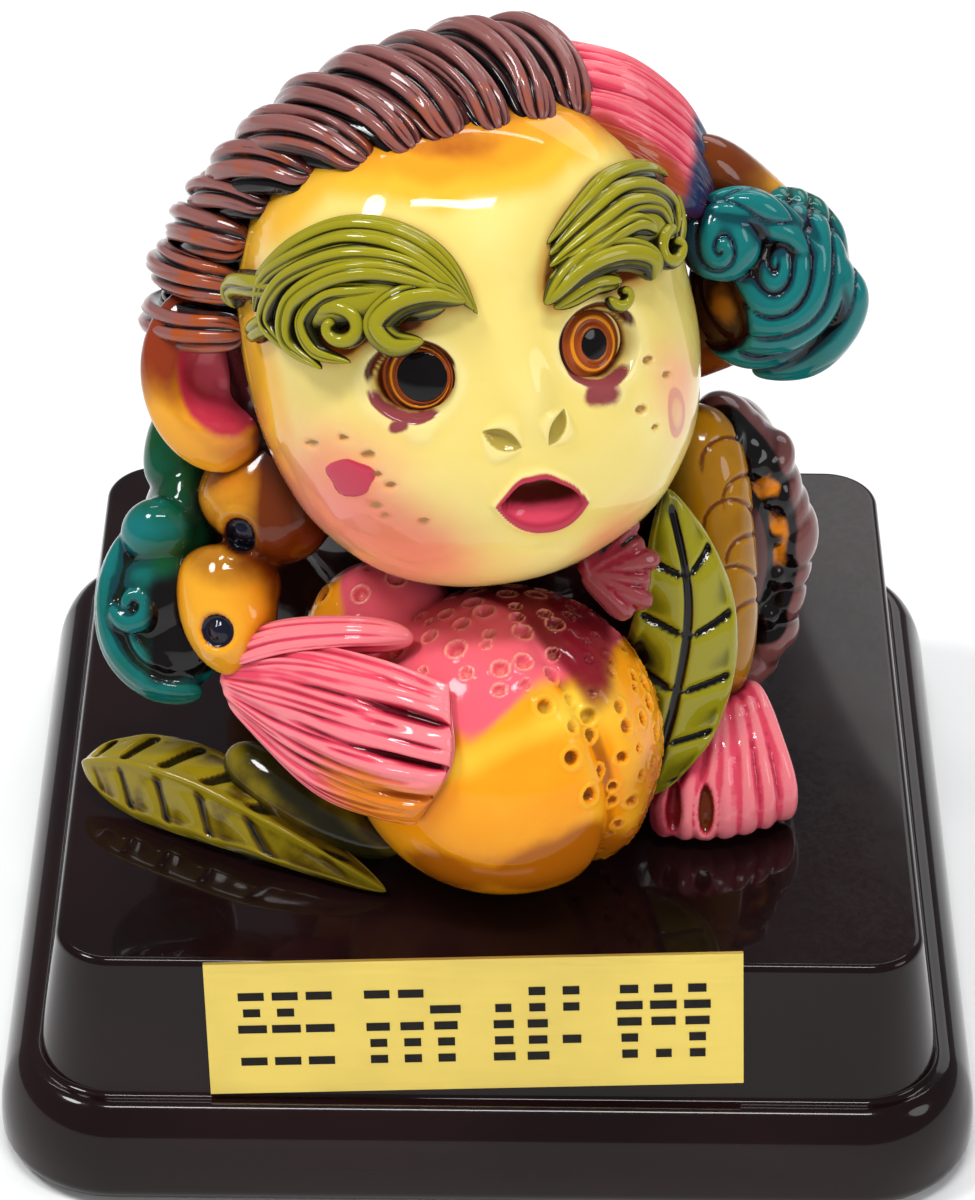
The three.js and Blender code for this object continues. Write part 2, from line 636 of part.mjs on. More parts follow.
/** The stand: turned as on a lathe and then squared, ring by ring. */
function makeStand() {
  const profile = standProfile();
  const segments = 4 * (CORNER_STEPS + 1);
  const geometry = new THREE.LatheGeometry(profile.map(([half, z]) => new THREE.Vector2(half, z)), segments);
  const position = geometry.attributes.position;
  const spread = (2 * (FOOT_CORNER_RADIUS - BLOCK_CORNER_RADIUS)) / (STAND_WIDTH - BLOCK_TOP_WIDTH);
  for (let segment = 0; segment <= segments; segment += 1) {
    for (const [row, [half, z]] of profile.entries()) {
      const radius = BLOCK_CORNER_RADIUS + spread * (half - BLOCK_TOP_WIDTH / 2);
      const [x, y] = half === 0 ? [0, 0] : squarePoint(half, radius, segment % segments);
      position.setXYZ(segment * profile.length + row, x, y, z);
    }
  }
  return solid(geometry);
}

/** The nameplate, laid on the block's front and turned a little as on the original. */
function makePlate() {
  const inset = (BLOCK_BOTTOM_WIDTH - BLOCK_TOP_WIDTH) / 2;
  const lean = Math.atan2(inset, STAND_HEIGHT - FOOT_HEIGHT - LEDGE_RISE);
  const tilt = rad(PLATE_TILT_DEG);
  const reachDown = (PLATE_HEIGHT * Math.cos(tilt) + PLATE_WIDTH * Math.sin(tilt)) / 2;
  const plate = new THREE.BoxGeometry(PLATE_WIDTH, PLATE_THICKNESS, PLATE_HEIGHT);
  plate.rotateY(-tilt);
  plate.translate(0, -PLATE_THICKNESS / 2 - PLATE_GAP, reachDown + PLATE_ABOVE_LEDGE);
  plate.rotateX(-lean);
  plate.translate(PLATE_CENTRE_X, -BLOCK_BOTTOM_WIDTH / 2, FOOT_HEIGHT + LEDGE_RISE);
  return solid(plate);
}

/** Wraps a solid as a named mesh with its own material. */
function named(name, body, look) {
  const geometry = geometryOf(body);
  geometry.computeVertexNormals();
  const result = new THREE.Mesh(geometry, new THREE.MeshStandardMaterial(look));
  result.name = name;
  return result;
}

const part = new THREE.Group();
part.name = "zodiac_figure";

const stand = named("stand", makeStand(), { color: 0x1a0f10, roughness: 0.18, metalness: 0 });
const nameplate = named("nameplate", makePlate(), { color: 0xe6cf5a, roughness: 0.3, metalness: 0.8 });
const figureLook = { color: 0xe2a23a, roughness: 0.15, metalness: 0 };
const casting = await makeFigure();
const top = casting.boundingBox().max[2];
const figure = named("monkey_figure", casting.scale(FIGURE_HEIGHT / top), figureLook);
figure.position.z = STAND_HEIGHT;

part.add(stand, nameplate, figure);

export default part;
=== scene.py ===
"""Looks of a glazed pottery monkey that hugs a peach, on a lacquered stand with a gilt nameplate.

The figure is worked in millimetres from the middle of the stand's top and brought to metres at the end.
"""

import math
from functools import lru_cache, partial

import bmesh
import bpy
import numpy as np
from bpy.props import FloatProperty, FloatVectorProperty, IntProperty, PointerProperty
from mathutils import Matrix, Vector
from mathutils.bvhtree import BVHTree


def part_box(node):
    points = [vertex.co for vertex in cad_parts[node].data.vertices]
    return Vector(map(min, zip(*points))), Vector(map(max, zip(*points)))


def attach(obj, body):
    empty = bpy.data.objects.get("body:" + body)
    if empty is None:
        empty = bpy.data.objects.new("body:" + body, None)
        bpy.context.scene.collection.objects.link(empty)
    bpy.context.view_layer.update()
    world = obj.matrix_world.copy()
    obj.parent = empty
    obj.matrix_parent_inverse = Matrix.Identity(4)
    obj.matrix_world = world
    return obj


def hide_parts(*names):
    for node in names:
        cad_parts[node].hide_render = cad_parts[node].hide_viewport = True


bl_info = {
    "name": "Zodiac Figurine",
    "version": (1, 0, 0),
    "blender": (4, 5, 0),
    "location": "View3D > Sidebar > Figurine",
    "description": "Builds the glazed monkey, its lacquered stand, the nameplate and a plain studio",
    "category": "Object",
}

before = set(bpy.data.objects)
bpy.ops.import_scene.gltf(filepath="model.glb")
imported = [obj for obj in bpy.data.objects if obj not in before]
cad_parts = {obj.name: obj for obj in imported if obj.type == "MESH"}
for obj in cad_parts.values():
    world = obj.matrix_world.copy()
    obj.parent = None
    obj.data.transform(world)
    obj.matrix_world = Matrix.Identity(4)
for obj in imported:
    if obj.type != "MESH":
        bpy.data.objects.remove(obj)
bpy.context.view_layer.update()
MM = 0.001
STAND_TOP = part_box("stand")[1].z

HEAD_CENTRE = np.array([-3.2, -10.5, 60.4])
HEAD_HALF = np.array([25.4, 24.2, 28.4])
HEAD_SQUARENESS = 2.35
PEACH_CENTRE = np.array([1.5, -28.7, 16.0])
PEACH_HALF = np.array([18.3, 18.0, 17.8])
TRUNK_CENTRE = np.array([-3.0, 9.0, 30.0])
TRUNK_HALF = np.array([24.0, 22.0, 30.0])
FRONT = (0.0, -0.6, 0.8)
EYES = {"left": (-11.3, 1.5), "right": (10.1, 0.4)}


def srgb(red, green, blue):
    """A colour as a picker shows it, 0 to 255, made linear."""
    shares = [channel / 255 for channel in (red, green, blue)]
    return tuple(s / 12.92 if s <= 0.04045 else ((s + 0.055) / 1.055) ** 2.4 for s in shares)


def colour(name, description, red, green, blue):
    """A colour property with its default."""
    return FloatVectorProperty(
        name=name,
        description=description,
        default=srgb(red, green, blue),
        size=3,
        min=0.0,
        max=1.0,
        subtype="COLOR",
    )


def length(name, description, default):
    """A length in millimetres, kept in metres."""
    return FloatProperty(
        name=name,
        description=description,
        default=default * MM,
        min=0.0,
        subtype="DISTANCE",
        unit="LENGTH",
    )


def number_of(name, description, default, lowest, highest):
    """A whole number and its range."""
    return IntProperty(name=name, description=description, default=default, min=lowest, max=highest)


def camera_angle(name, description, degrees):
    """An angle in degrees, kept in radians."""
    return FloatProperty(name=name, description=description, default=math.radians(degrees), subtype="ANGLE")


class FigurineSizes(bpy.types.PropertyGroup):
    """Fineness and carving of the pottery"""

    grain: length("Carving grain", "Smallest step of the finely carved areas", 0.36)
    broad_grain: length("Broad grain", "Smallest step of the smooth body and back", 0.82)
    lock_count: number_of("Locks", "Hair locks along the hairline", 11, 3, 30)
    dimple_count: number_of("Dimples", "Dimples on the peach", 230, 0, 400)
    dimple_radius: length("Dimple radius", "Usual radius of a dimple", 0.88)
    dimple_depth: FloatProperty(
        name="Dimple depth", description="Depth for each radius", default=0.95, min=0.0, max=2.0
    )
    toe_count: number_of("Toes", "Toes of the left foot", 7, 3, 10)
    fur_count: number_of("Fur lobes", "Lobes of the fur behind the shin", 7, 2, 20)


class FigurineGlazes(bpy.types.PropertyGroup):
    """Colours of the glazes"""

    cream: colour("Cream", "Face", 240, 216, 120)
    cream_pale: colour("Pale cream", "Face where the glaze is thin", 244, 224, 142)
    amber: colour("Amber", "Brow band, ear, arms and shin", 232, 144, 22)
    amber_deep: colour("Deep amber", "Amber where it pools", 134, 58, 8)
    yellow: colour("Yellow", "Underside of the peach", 247, 200, 60)
    orange: colour("Orange", "Body of the peach", 250, 152, 14)
    pink: colour("Pink", "Hands, foot and top of the peach", 230, 72, 98)
    pink_pale: colour("Pale pink", "Pink where it is thin", 248, 132, 140)
    crimson: colour("Crimson", "Mouth, ear and cheek", 150, 18, 42)
    blush: colour("Blush", "Cheeks", 240, 140, 108)
    maroon: colour("Maroon", "Hair and fur", 76, 32, 31)
    maroon_pale: colour("Pale maroon", "Hair where the glaze is thin", 138, 88, 84)
    rust: colour("Rust", "Hair near the hairline", 170, 78, 28)
    olive: colour("Olive", "Eyebrows and leaves", 86, 84, 8)
    olive_pale: colour("Pale olive", "Olive where it is thin", 152, 144, 26)
    teal: colour("Teal", "Sleeve and drape", 4, 66, 72)
    teal_pale: colour("Pale teal", "Teal where it is thin", 18, 112, 112)
    green: colour("Green", "Patches on the drape", 12, 76, 40)
    navy: colour("Navy", "Cuff of the raised hand", 34, 44, 84)
    ink: colour("Ink", "Bottom of the deepest grooves", 14, 9, 10)


class StandSizes(bpy.types.PropertyGroup):
    """Sizes of the lacquered stand and its nameplate"""

    width: length("Stand width", "Across the foot", 115.0)
    height: length("Stand height", "From the underside to the top", 31.0)
    foot_height: length("Foot height", "Height of the moulded foot", 13.0)
    foot_rounding: length("Foot rounding", "Height of the foot's upper rounding", 9.4)
    under_rounding: length("Under rounding", "Rounding under the foot", 2.6)
    block_top: length("Block top", "Width of the block at its top", 100.0)
    block_bottom: length("Block bottom", "Width of the block at the foot", 105.0)
    corner_radius: length("Corner radius", "Corner radius of the block's top", 6.6)
    edge_radius: length("Edge radius", "Rounding of the block's top edge", 1.0)
    plate_width: length("Plate width", "Width of the nameplate", 61.5)
    plate_height: length("Plate height", "Height of the nameplate", 17.6)
    plate_thickness: length("Plate thickness", "Thickness of the nameplate", 0.6)
    lacquer: colour("Lacquer", "Dark lacquer of the stand", 30, 14, 15)
    gilt: colour("Gilt", "Pale gold of the nameplate", 232, 206, 104)


class StageSizes(bpy.types.PropertyGroup):
    """Camera and studio"""

    elevation: camera_angle("Elevation", "Camera above the horizon", 36.21)
    azimuth: camera_angle("Azimuth", "Camera round the object", -0.149)
    roll: camera_angle("Roll", "Camera's tilt to the side", 0.674)
    distance: length("Distance", "From the camera to its target", 594.34)
    lens: FloatProperty(name="Lens", description="Focal length in millimetres", default=141.5, min=10.0)
    floor: colour("Floor", "Plain pale floor", 250, 250, 249)


# Small tools for shapes


def unit(v):
    """Vectors brought to length one."""
    return v / np.maximum(np.linalg.norm(v, axis=-1, keepdims=True), 1e-12)


def smooth(x, low, high):
    """A soft step from 0 at `low` to 1 at `high`."""
    t = np.clip((np.asarray(x, float) - low) / (high - low), 0, 1)
    return t * t * (3 - 2 * t)


def bump(distance, width):
    """A round hill of height one."""
    return np.exp(-((np.asarray(distance, float) / width) ** 2))


def rotation(x, y, z, order="xyz"):
    """A turn by degrees about the axes; `order` names the axes from the outermost turn inwards."""
    turns = {"x": x, "y": y, "z": z}
    out = np.eye(3)
    for axis in order:
        out = out @ np.array(Matrix.Rotation(math.radians(turns[axis]), 3, axis.upper()))
    return out


HEAD_TURN = rotation(-21.5, -7, 14, "zxy")


def along_curve(path, t):
    """Points of a centripetal Catmull-Rom curve at shares `t` of its spans."""
    p = np.asarray(path, float)
    p = np.vstack([2 * p[0] - p[1], p, 2 * p[-1] - p[-2]])
    spans = len(p) - 3
    place = np.clip(np.asarray(t, float), 0, 1) * spans
    i = np.minimum(place.astype(int), spans - 1)
    w = (place - i)[:, None]
    a, b, c, d = p[i], p[i + 1], p[i + 2], p[i + 3]
    gap_ab, gap_bc, gap_cd = (
        np.maximum(np.linalg.norm(v - u, axis=1) ** 0.5, 1e-4)[:, None] for u, v in ((a, b), (b, c), (c, d))
    )
    start = ((b - a) / gap_ab - (c - a) / (gap_ab + gap_bc) + (c - b) / gap_bc) * gap_bc
    end = ((c - b) / gap_bc - (d - b) / (gap_bc + gap_cd) + (d - c) / gap_cd) * gap_bc
    return b + start * w + (3 * (c - b) - 2 * start - end) * w**2 + (2 * (b - c) + start + end) * w**3


def curve_frame(path, t, up, origin):
    """Centres along a path, and the sideways and outward directions there."""
    centre = along_curve(path, t)
    tangent = unit(along_curve(path, t + 1e-3) - along_curve(path, t - 1e-3))
    out = np.broadcast_to(np.asarray(up, float), centre.shape) if origin is None else centre - origin
    side = unit(np.cross(out, tangent))
    return centre, side, np.cross(tangent, side)


def closed_net(rows):
    """Vertices and faces of a closed body from rings whose first and last are points."""
    count, around = rows.shape[:2]
    vertices = np.vstack([rows[:1, 0], rows[1:-1].reshape(-1, 3), rows[-1:, 0]])
    ring = np.arange((count - 2) * around).reshape(count - 2, around) + 1
    nxt = np.roll(ring, -1, axis=1)
    quads = np.stack([ring[:-1], nxt[:-1], nxt[1:], ring[1:]], -1).reshape(-1, 4)
    last = len(vertices) - 1
    first_fan = np.stack([np.zeros(around, int), nxt[0], ring[0]], -1)
    last_fan = np.stack([np.full(around, last), ring[-1], nxt[-1]], -1)
    return vertices, quads.tolist() + first_fan.tolist() + last_fan.tolist()


def netted(around, along, place):
    """A closed body on a sphere's net; `place(direction, angle, station)` gives the points."""
    phi = np.linspace(0, 2 * np.pi, around, endpoint=False)
    station, p = np.meshgrid(np.linspace(0, 1, along + 1), phi, indexing="ij")
    girth = np.sin(np.pi * station)
    direction = np.stack([-np.cos(p) * girth, np.cos(np.pi * station), np.sin(p) * girth], -1)
    return closed_net(place(direction, np.pi - p, station))


def ball(centre, half, turn=(0, 0, 0), around=44, along=30, carve=None):
    """An ellipsoid; `carve(own)` may move its points in their own unit frame."""
    matrix = rotation(*turn)

    def place(direction, angle, station):
        own = np.stack([direction[..., 0], -direction[..., 2], direction[..., 1]], -1)
        own = own if carve is None else carve(own)
        return (own * np.asarray(half, float)) @ matrix.T + np.asarray(centre, float)

    return netted(around, along, place)


def stations(along):
    """Shares of the way along a path, closer together at its ends."""
    s = np.linspace(0, 1, along + 1)
    return 0.45 * s + 0.275 * (1 - np.cos(np.pi * s))


def blunted(t, power):
    """Share of the full size at each station; a higher power gives blunter ends."""
    return np.sqrt(np.maximum(0, 1 - np.abs(2 * t - 1) ** power))


def sweep(path, size, up=FRONT, origin=None, around=26, along=44, power=4.0, relief=None):
    """A limb, lock or curl along a path; `size(t)` gives its half-width and half-thickness."""
    t = stations(along)
    centre, side, over = curve_frame(path, t, up, origin)
    angle = np.linspace(0, 2 * np.pi, around, endpoint=False)[None, :]
    end = blunted(t, power)
    width, thickness = (np.broadcast_to(np.asarray(v, float), t.shape) for v in size(t))
    swell = end[:, None] * (1 + (relief(t[:, None], angle) if relief else 0.0) + 0 * angle)
    sideways = (width[:, None] * np.cos(angle) * swell)[..., None] * side[:, None]
    outward = (thickness[:, None] * np.sin(angle) * swell)[..., None] * over[:, None]
    return closed_net(centre[:, None] + sideways + outward)


over_head = partial(sweep, origin=HEAD_CENTRE)


def streaks(count, depth, width=0.34, fade=(1.1, 1.2), phase=0.0, fine=0.0):
    """Valleys along a sweep: `count` round it, `depth` as a share of its radius; `fine` adds hair lines."""

    def relief(t, angle):
        line = np.sin(count * angle / 2 + phase + 0.35 * np.sin(4 * t + 1.7 * phase))
        hair = np.sin(1.9 * count * angle / 2 + 2.3 * phase + 0.8 * np.sin(5 * t + phase))
        return -depth * bump(line, width) * (1 - smooth(t, *fade)) - fine * bump(hair, 0.3)

    return relief


def hand_shell(fingers, origin, thickness, lines, seed, along=88, parting=0.9):
    """A hand as one fan of skin over `origin`: fine lines run its length, and gaps part the fingertips."""
    around = 270
    reach = 0.62
    t = stations(along)
    rails = np.stack([along_curve(path, t) for path in fingers])
    count = len(fingers)
    angle = np.linspace(0, 2 * np.pi, around, endpoint=False)
    across = (count - 1) / 2 - ((count - 1) / 2 + reach) * np.cos(angle)
    rails = np.concatenate([2 * rails[:1] - rails[1:2], rails, 2 * rails[-1:] - rails[-2:-1]])
    share = (across + 1) / (count + 1)
    rows = np.stack([along_curve(rails[:, i], share) for i in range(len(t))])
    outward_way = unit(rows - np.asarray(origin, float))
    rng = np.random.default_rng(seed)
    height = np.sign(np.sin(angle)) * np.abs(np.sin(angle)) ** 0.55 * np.ones((len(t), 1))
    carved = np.zeros((len(t), around))
    for k in range(lines):
        middle = -reach + (count - 1 + 2 * reach) * (k + 0.5 + 0.5 * (rng.random() - 0.5)) / lines
        sway = 0.09 * np.sin(3.5 * t + 6 * rng.random())[:, None]
        begin, stop = 0.5 * rng.random() ** 2, 1 - 0.35 * rng.random() ** 2
        lasting = smooth(t, begin, begin + 0.12) * (1 - smooth(t, stop, stop + 0.1))
        deep = (0.06 + 0.14 * rng.random()) * lasting[:, None]
        carved += deep * bump(across[None, :] - middle - sway, 0.045 + 0.03 * rng.random())
    for gap in np.arange(count - 1) + 0.5:
        sway = 0.06 * np.sin(4 * t + 2 * gap)[:, None]
        carved += parting * smooth(t, 0.56, 0.82)[:, None] * bump(across[None, :] - gap - sway, 0.1)
    body = thickness * (0.9 + 0.1 * np.cos(2 * np.pi * (across - np.round(across))))[None, :]
    end = (blunted(t, 7) * (0.6 + 0.4 * smooth(t, 0, 0.35)))[:, None]
    upper = height * body * end * (1 - np.minimum(carved, 1.15))
    lower = height * thickness * 0.8 * end
    return closed_net(rows + np.where(height > 0, upper, lower)[..., None] * outward_way)


# The head's own frame


def from_head(own):
    """Points of the head's own frame, in the figure."""
    return own @ HEAD_TURN.T + HEAD_CENTRE


def head_reach(direction):
    """How far the head's egg reaches in a direction of its own frame."""
    shares = np.abs(direction / HEAD_HALF) ** HEAD_SQUARENESS
    return shares.sum(-1) ** (-1 / HEAD_SQUARENESS)


def on_head(from_axis, turn, lift=0.0):
    """A point above the head, by degrees from the face's axis and degrees round it from the crown."""
    polar, turn = math.radians(from_axis), math.radians(turn)
    own = np.array([-math.sin(polar) * math.sin(turn), -math.cos(polar), math.sin(polar) * math.cos(turn)])
    return from_head(own * (head_reach(own) + lift))


def on_face(x, z, lift=0.0):
    """A point above the face, by its side and height in the head's own frame."""
    n = HEAD_SQUARENESS
    rest = 1 - abs(x / HEAD_HALF[0]) ** n - abs(z / HEAD_HALF[2]) ** n
    own = np.array([x, -HEAD_HALF[1] * max(0.002, rest) ** (1 / n), z])
    return from_head(own * (1 + lift / np.linalg.norm(own)))


def face_place(points):
    """Side, depth and height on the plain egg under each point, in the head's own frame."""
    own = unit((points - HEAD_CENTRE) @ HEAD_TURN)
    return own * head_reach(own)[..., None]


def hairline(turn):
    """The hairline's angle from the face's axis: low over the brow, far back by the ear."""
    return 65 + 33 * smooth(np.abs(turn), 12, 62)


def mouth_inset(x, z):
    """How far inside the mouth's outline a place is, and its share of the way up to the lip."""
    u = (x - 0.3) / 4.5
    rise = z - (-14.8 - 0.14 * (x - 0.3))
    arch = 3.1 * np.clip(1 - np.abs(u + 0.08) ** 2.1, -2, 1) + 0.08 * np.sin(2.2 * x)
    bowl = -2.5 * np.clip(1 - np.abs(u) ** 2.6, -2, 1)
    share = (rise - bowl) / np.maximum(arch - bowl, 0.8)
    return np.minimum(arch - rise, rise - bowl), share


def slit(x, z, start, end, width):
    """One inside an almond-shaped slit from `start` to `end`, falling to nought at its edge."""
    a, b = np.array(start), np.array(end)
    axis = (b - a) / np.linalg.norm(b - a)
    mid = (a + b) / 2
    u = ((x - mid[0]) * axis[0] + (z - mid[1]) * axis[1]) / (np.linalg.norm(b - a) / 2)
    v = (-(x - mid[0]) * axis[1] + (z - mid[1]) * axis[0]) / (width / 2)
    return np.clip(1 - u**2 - np.abs(v), 0, 1)


NOSTRILS = [((-5.2, -5.3), (-1.0, -8.0), 2.7), ((1.5, -8.4), (4.4, -5.0), 2.2)]
FRECKLES = [
    (-19.2, -4.0),
    (-22.1, -4.7),
    (-17.0, -6.0),
    (-16.3, -8.2),
    (-15.2, -9.5),
    (-17.0, -12.0),
    (-16.3, -13.4),
    (17.2, -5.6),
    (12.9, -7.9),
    (14.2, -10.4),
    (-12.6, -14.6),
    (15.4, -3.2),
]


def face_relief(x, z):
    """The face's relief: muzzle, nose, cheeks, eye hollows, nostrils, mouth and small pits."""
    relief = 1.5 * bump(np.hypot((x - 1) / 1.2, z + 13.5), 7)
    relief += 1.5 * bump(np.hypot((x - 0.7) * 1.5, z + 3.5), 4.2)
    relief += 0.5 * bump(np.hypot((x + 0.4) / 0.8, z - 1.5), 4.0)
    relief += 0.7 * bump(np.hypot(x - 0.5, z + 23), 5)
    relief += 0.9 * bump(np.hypot(np.abs(x) - 14, z + 9), 6.5)
    for ex, ez in EYES.values():
        far = np.hypot((x - ex) * 0.94, z - ez)
        relief += -2.6 * (1 - smooth(far, 3.4, 4.7)) + 0.1 * bump(far - 5.2, 0.8) - 0.7 * bump(far, 8)
        relief += 0.4 * bump(np.hypot((x - ex) * 0.9, z - ez + 5.6) - 0.4, 1.0)
    for start, end, width in NOSTRILS:
        inside = slit(x, z, start, end, width)
        wide = slit(x, z, start, end, width * 2.4)
        relief += 0.35 * smooth(wide, 0.0, 0.5) - 0.8 * smooth(inside, 0.0, 0.7)
    relief += -0.55 * freckle_share(x, z) + 0.12 * bump(freckle_share(x, z) - 0.3, 0.12)
    inset, share = mouth_inset(x, z)
    floor = 0.6 + 2.9 * smooth(share, 0.15, 0.5)
    relief += -floor * smooth(inset, -0.2, 1.1) + 0.45 * bump(inset + 0.6, 0.7)
    relief += 0.16 * smooth(spot_inset(x, z), -0.1, 0.25)
    relief += 0.07 * np.sin(0.4 * x + 1.3) * np.sin(0.5 * z + 0.4)
    return relief


def freckle_share(x, z):
    """One in the middle of each small pit on the cheeks, falling to nought beside it."""
    share = np.zeros_like(x)
    for k, (fx, fz) in enumerate(FRECKLES):
        share = np.maximum(share, bump(np.hypot((x - fx) / 1.5, z - fz), 0.36 + 0.09 * (k % 3)))
    return share


def spot_inset(x, z):
    """How far a place is inside the raised crimson spot on the cheek."""
    dx, dz = x + 18.9, z + 8.5
    angle = np.arctan2(dz, dx)
    return 2.25 + 0.2 * np.sin(3 * angle + 0.6) + 0.12 * np.sin(5 * angle) - np.hypot(dx, dz)


# Shells of the figure, group by group


def face_shells():
    """The face's egg, closed off behind under the hair."""
    share = np.linspace(0, 1, 200) ** 1.12
    polar = np.radians(118) * share
    phi = np.linspace(0, 2 * np.pi, 330, endpoint=False)
    p, f = np.meshgrid(polar, phi, indexing="ij")
    own = np.stack([-np.sin(p) * np.cos(f), -np.cos(p), np.sin(p) * np.sin(f)], -1)
    reach = head_reach(own)
    flat = own * reach[..., None]
    relief = np.where(own[..., 1] < 0, face_relief(flat[..., 0], flat[..., 2]), 0.0)
    rows = from_head(own * (reach + relief)[..., None])
    centre = np.broadcast_to(HEAD_CENTRE, rows[:1].shape)
    return [closed_net(np.vstack([rows, centre]))]


LOCK_AROUND = 80
LOCK_WIDTH = 3.3
LOCK_THICKNESS = 3.9
FIRST_LOCK_TURN = -34
LOCKS_SPREAD = 112


def lock_shells(count):
    """The locks that rise from the hairline and roll back over the crown."""
    shells = []
    for i in range(count):
        turn = FIRST_LOCK_TURN + LOCKS_SPREAD * i / (count - 1)
        lean = 12 * (1 - smooth(turn, 25, 70))
        lift = 1.8 + 6.0 * smooth(turn, 30, 80) + 1.0 * bump(turn + 32, 10)
        start = hairline(turn) - 4
        path = [
            on_head(start, turn - 1, -0.6),
            on_head(start + 9, turn + lean * 0.2, lift * 0.7 - 0.6),
            on_head(start + 24, turn + lean * 0.8, lift + 1),
            on_head(start + 42, turn + lean * 1.2, lift - 0.6),
            on_head(start + 60, turn + lean * 1.5, -0.5),
        ]
        width = LOCK_WIDTH * (1 + 0.16 * math.sin(2.4 * i + 0.6))
        size = lambda t: (
            width * (0.8 + 0.2 * np.minimum(1, 2.2 * t)),
            LOCK_THICKNESS * (0.34 + 0.66 * smooth(t, 0, 0.42)),
        )
        relief = streaks(7, 0.34, 0.42, fade=(0.4, 0.85), phase=1.3 * i, fine=0.07)
        shells.append(over_head(path, size, around=LOCK_AROUND, along=64, power=12, relief=relief))
    return shells


def scalp_shell():
    """The head under its hair, a little thicker behind the hairline."""

    def place(direction, angle, station):
        polar = np.radians(62) + np.radians(118) * station
        f = np.pi - angle
        own = np.stack([-np.sin(polar) * np.cos(f), -np.cos(polar), np.sin(polar) * np.sin(f)], -1)
        turn = np.degrees(np.arctan2(-own[..., 0], own[..., 2]))
        behind = np.degrees(polar) - hairline(turn)
        rows = from_head(own * (head_reach(own) - 1.2 + 3.4 * smooth(behind, 0, 14))[..., None])
        rows[0] = HEAD_CENTRE
        return rows

    return netted(180, 120, place)


def back_lock_shells():
    """Plainer locks down the back of the head."""
    shells = [scalp_shell()]
    count = 13
    for i in range(count):
        turn = 360 * i / count + 10
        places = [(108, 0, 0.4), (126, 5, 2.4), (150, 10, 2), (176, 14, -1)]
        path = [on_head(from_axis, turn + swing, lift) for from_axis, swing, lift in places]
        size = lambda t: (6.4 - 3.8 * t, 3.4)
        relief = streaks(7, 0.1, 0.4, phase=0.9 * i)
        shells.append(over_head(path, size, around=64, along=60, power=6, relief=relief))
    return shells


BROW_AROUND = 40
BROW_PADS = [
    ([(-21.8, 9.4), (-17, 12.2), (-11, 12.4), (-5.4, 9.2)], 4.6, 2.3),
    ([(6.6, 9.2), (12, 11.6), (18.2, 11.8), (21.6, 8.6)], 4.0, 2.1),
]
LEFT_STRANDS = [
    (
        [(-24, 10.2), (-22.2, 13.6), (-18.2, 17), (-13.4, 18.3), (-8.8, 17), (-5, 13.4), (-2.9, 7.2)],
        1.15,
        0.3,
    ),
    (
        [(-23.6, 9.6), (-21.8, 13.2), (-17.8, 15.8), (-13.6, 16.7), (-9.2, 15.3), (-5.8, 12), (-3.2, 7.6)],
        1.15,
        1.0,
    ),
    (
        [(-21, 5.6), (-22.4, 9), (-20.4, 12.6), (-16.6, 14.6), (-13, 14.9), (-8.6, 13.4), (-4.4, 9.4)],
        1.2,
        1.7,
    ),
    (
        [(-18.6, 4.2), (-20.8, 7.2), (-19.8, 10.6), (-16.2, 12.9), (-12.4, 13.2), (-8.4, 11.8), (-5, 9.4)],
        1.3,
        2.1,
    ),
    ([(-16, 4.6), (-18.8, 6.2), (-19.2, 9), (-16.8, 11.4), (-13.6, 11.6), (-10.8, 11.2)], 1.0, 1.9),
    ([(-3.8, 8.6), (-7, 10), (-10.4, 9.8), (-12.6, 8), (-11.6, 6), (-8.8, 5.6)], 1.7, 1.7),
    ([(-25, 9.2), (-24.5, 11.2), (-22.9, 12.4), (-21, 12.2)], 1.6, 0.4),
    ([(-24.6, 6.8), (-23.4, 8.3), (-21.8, 9.2)], 1.4, 0.4),
]
RIGHT_STRANDS = [
    ([(6.2, 12.4), (11, 15), (14.9, 16.4), (20, 15.5), (23.4, 12.2), (24, 8.6), (21.8, 5.8)], 1.2, 0.4),
    ([(5.8, 11.1), (11.2, 13.6), (15.4, 14.7), (19.4, 13.5), (21.7, 10.9), (21.8, 8)], 1.2, 1.1),
    ([(5.3, 9.9), (11.2, 12.1), (15.8, 13), (19, 11.5), (20.2, 8.8)], 1.25, 1.7),
    ([(4.9, 8.7), (11.2, 10.7), (15.6, 11.1), (18, 9.4)], 1.2, 2.0),
    ([(3.9, 6.4), (7.7, 8.8), (12.6, 9.1), (15.9, 7.3), (16.2, 5.2)], 1.75, 1.8),
    ([(5, 5.8), (9.6, 7), (13, 6.4)], 1.2, 1.2),
]
BROW_CURLS = [
    (-16.2, 8.2, 2.3, 150, -400, 1.1),
    (19.4, 7.2, 2.0, 40, 380, 1.0),
    (12.2, 4.9, 1.2, 160, 300, 0.8),
]


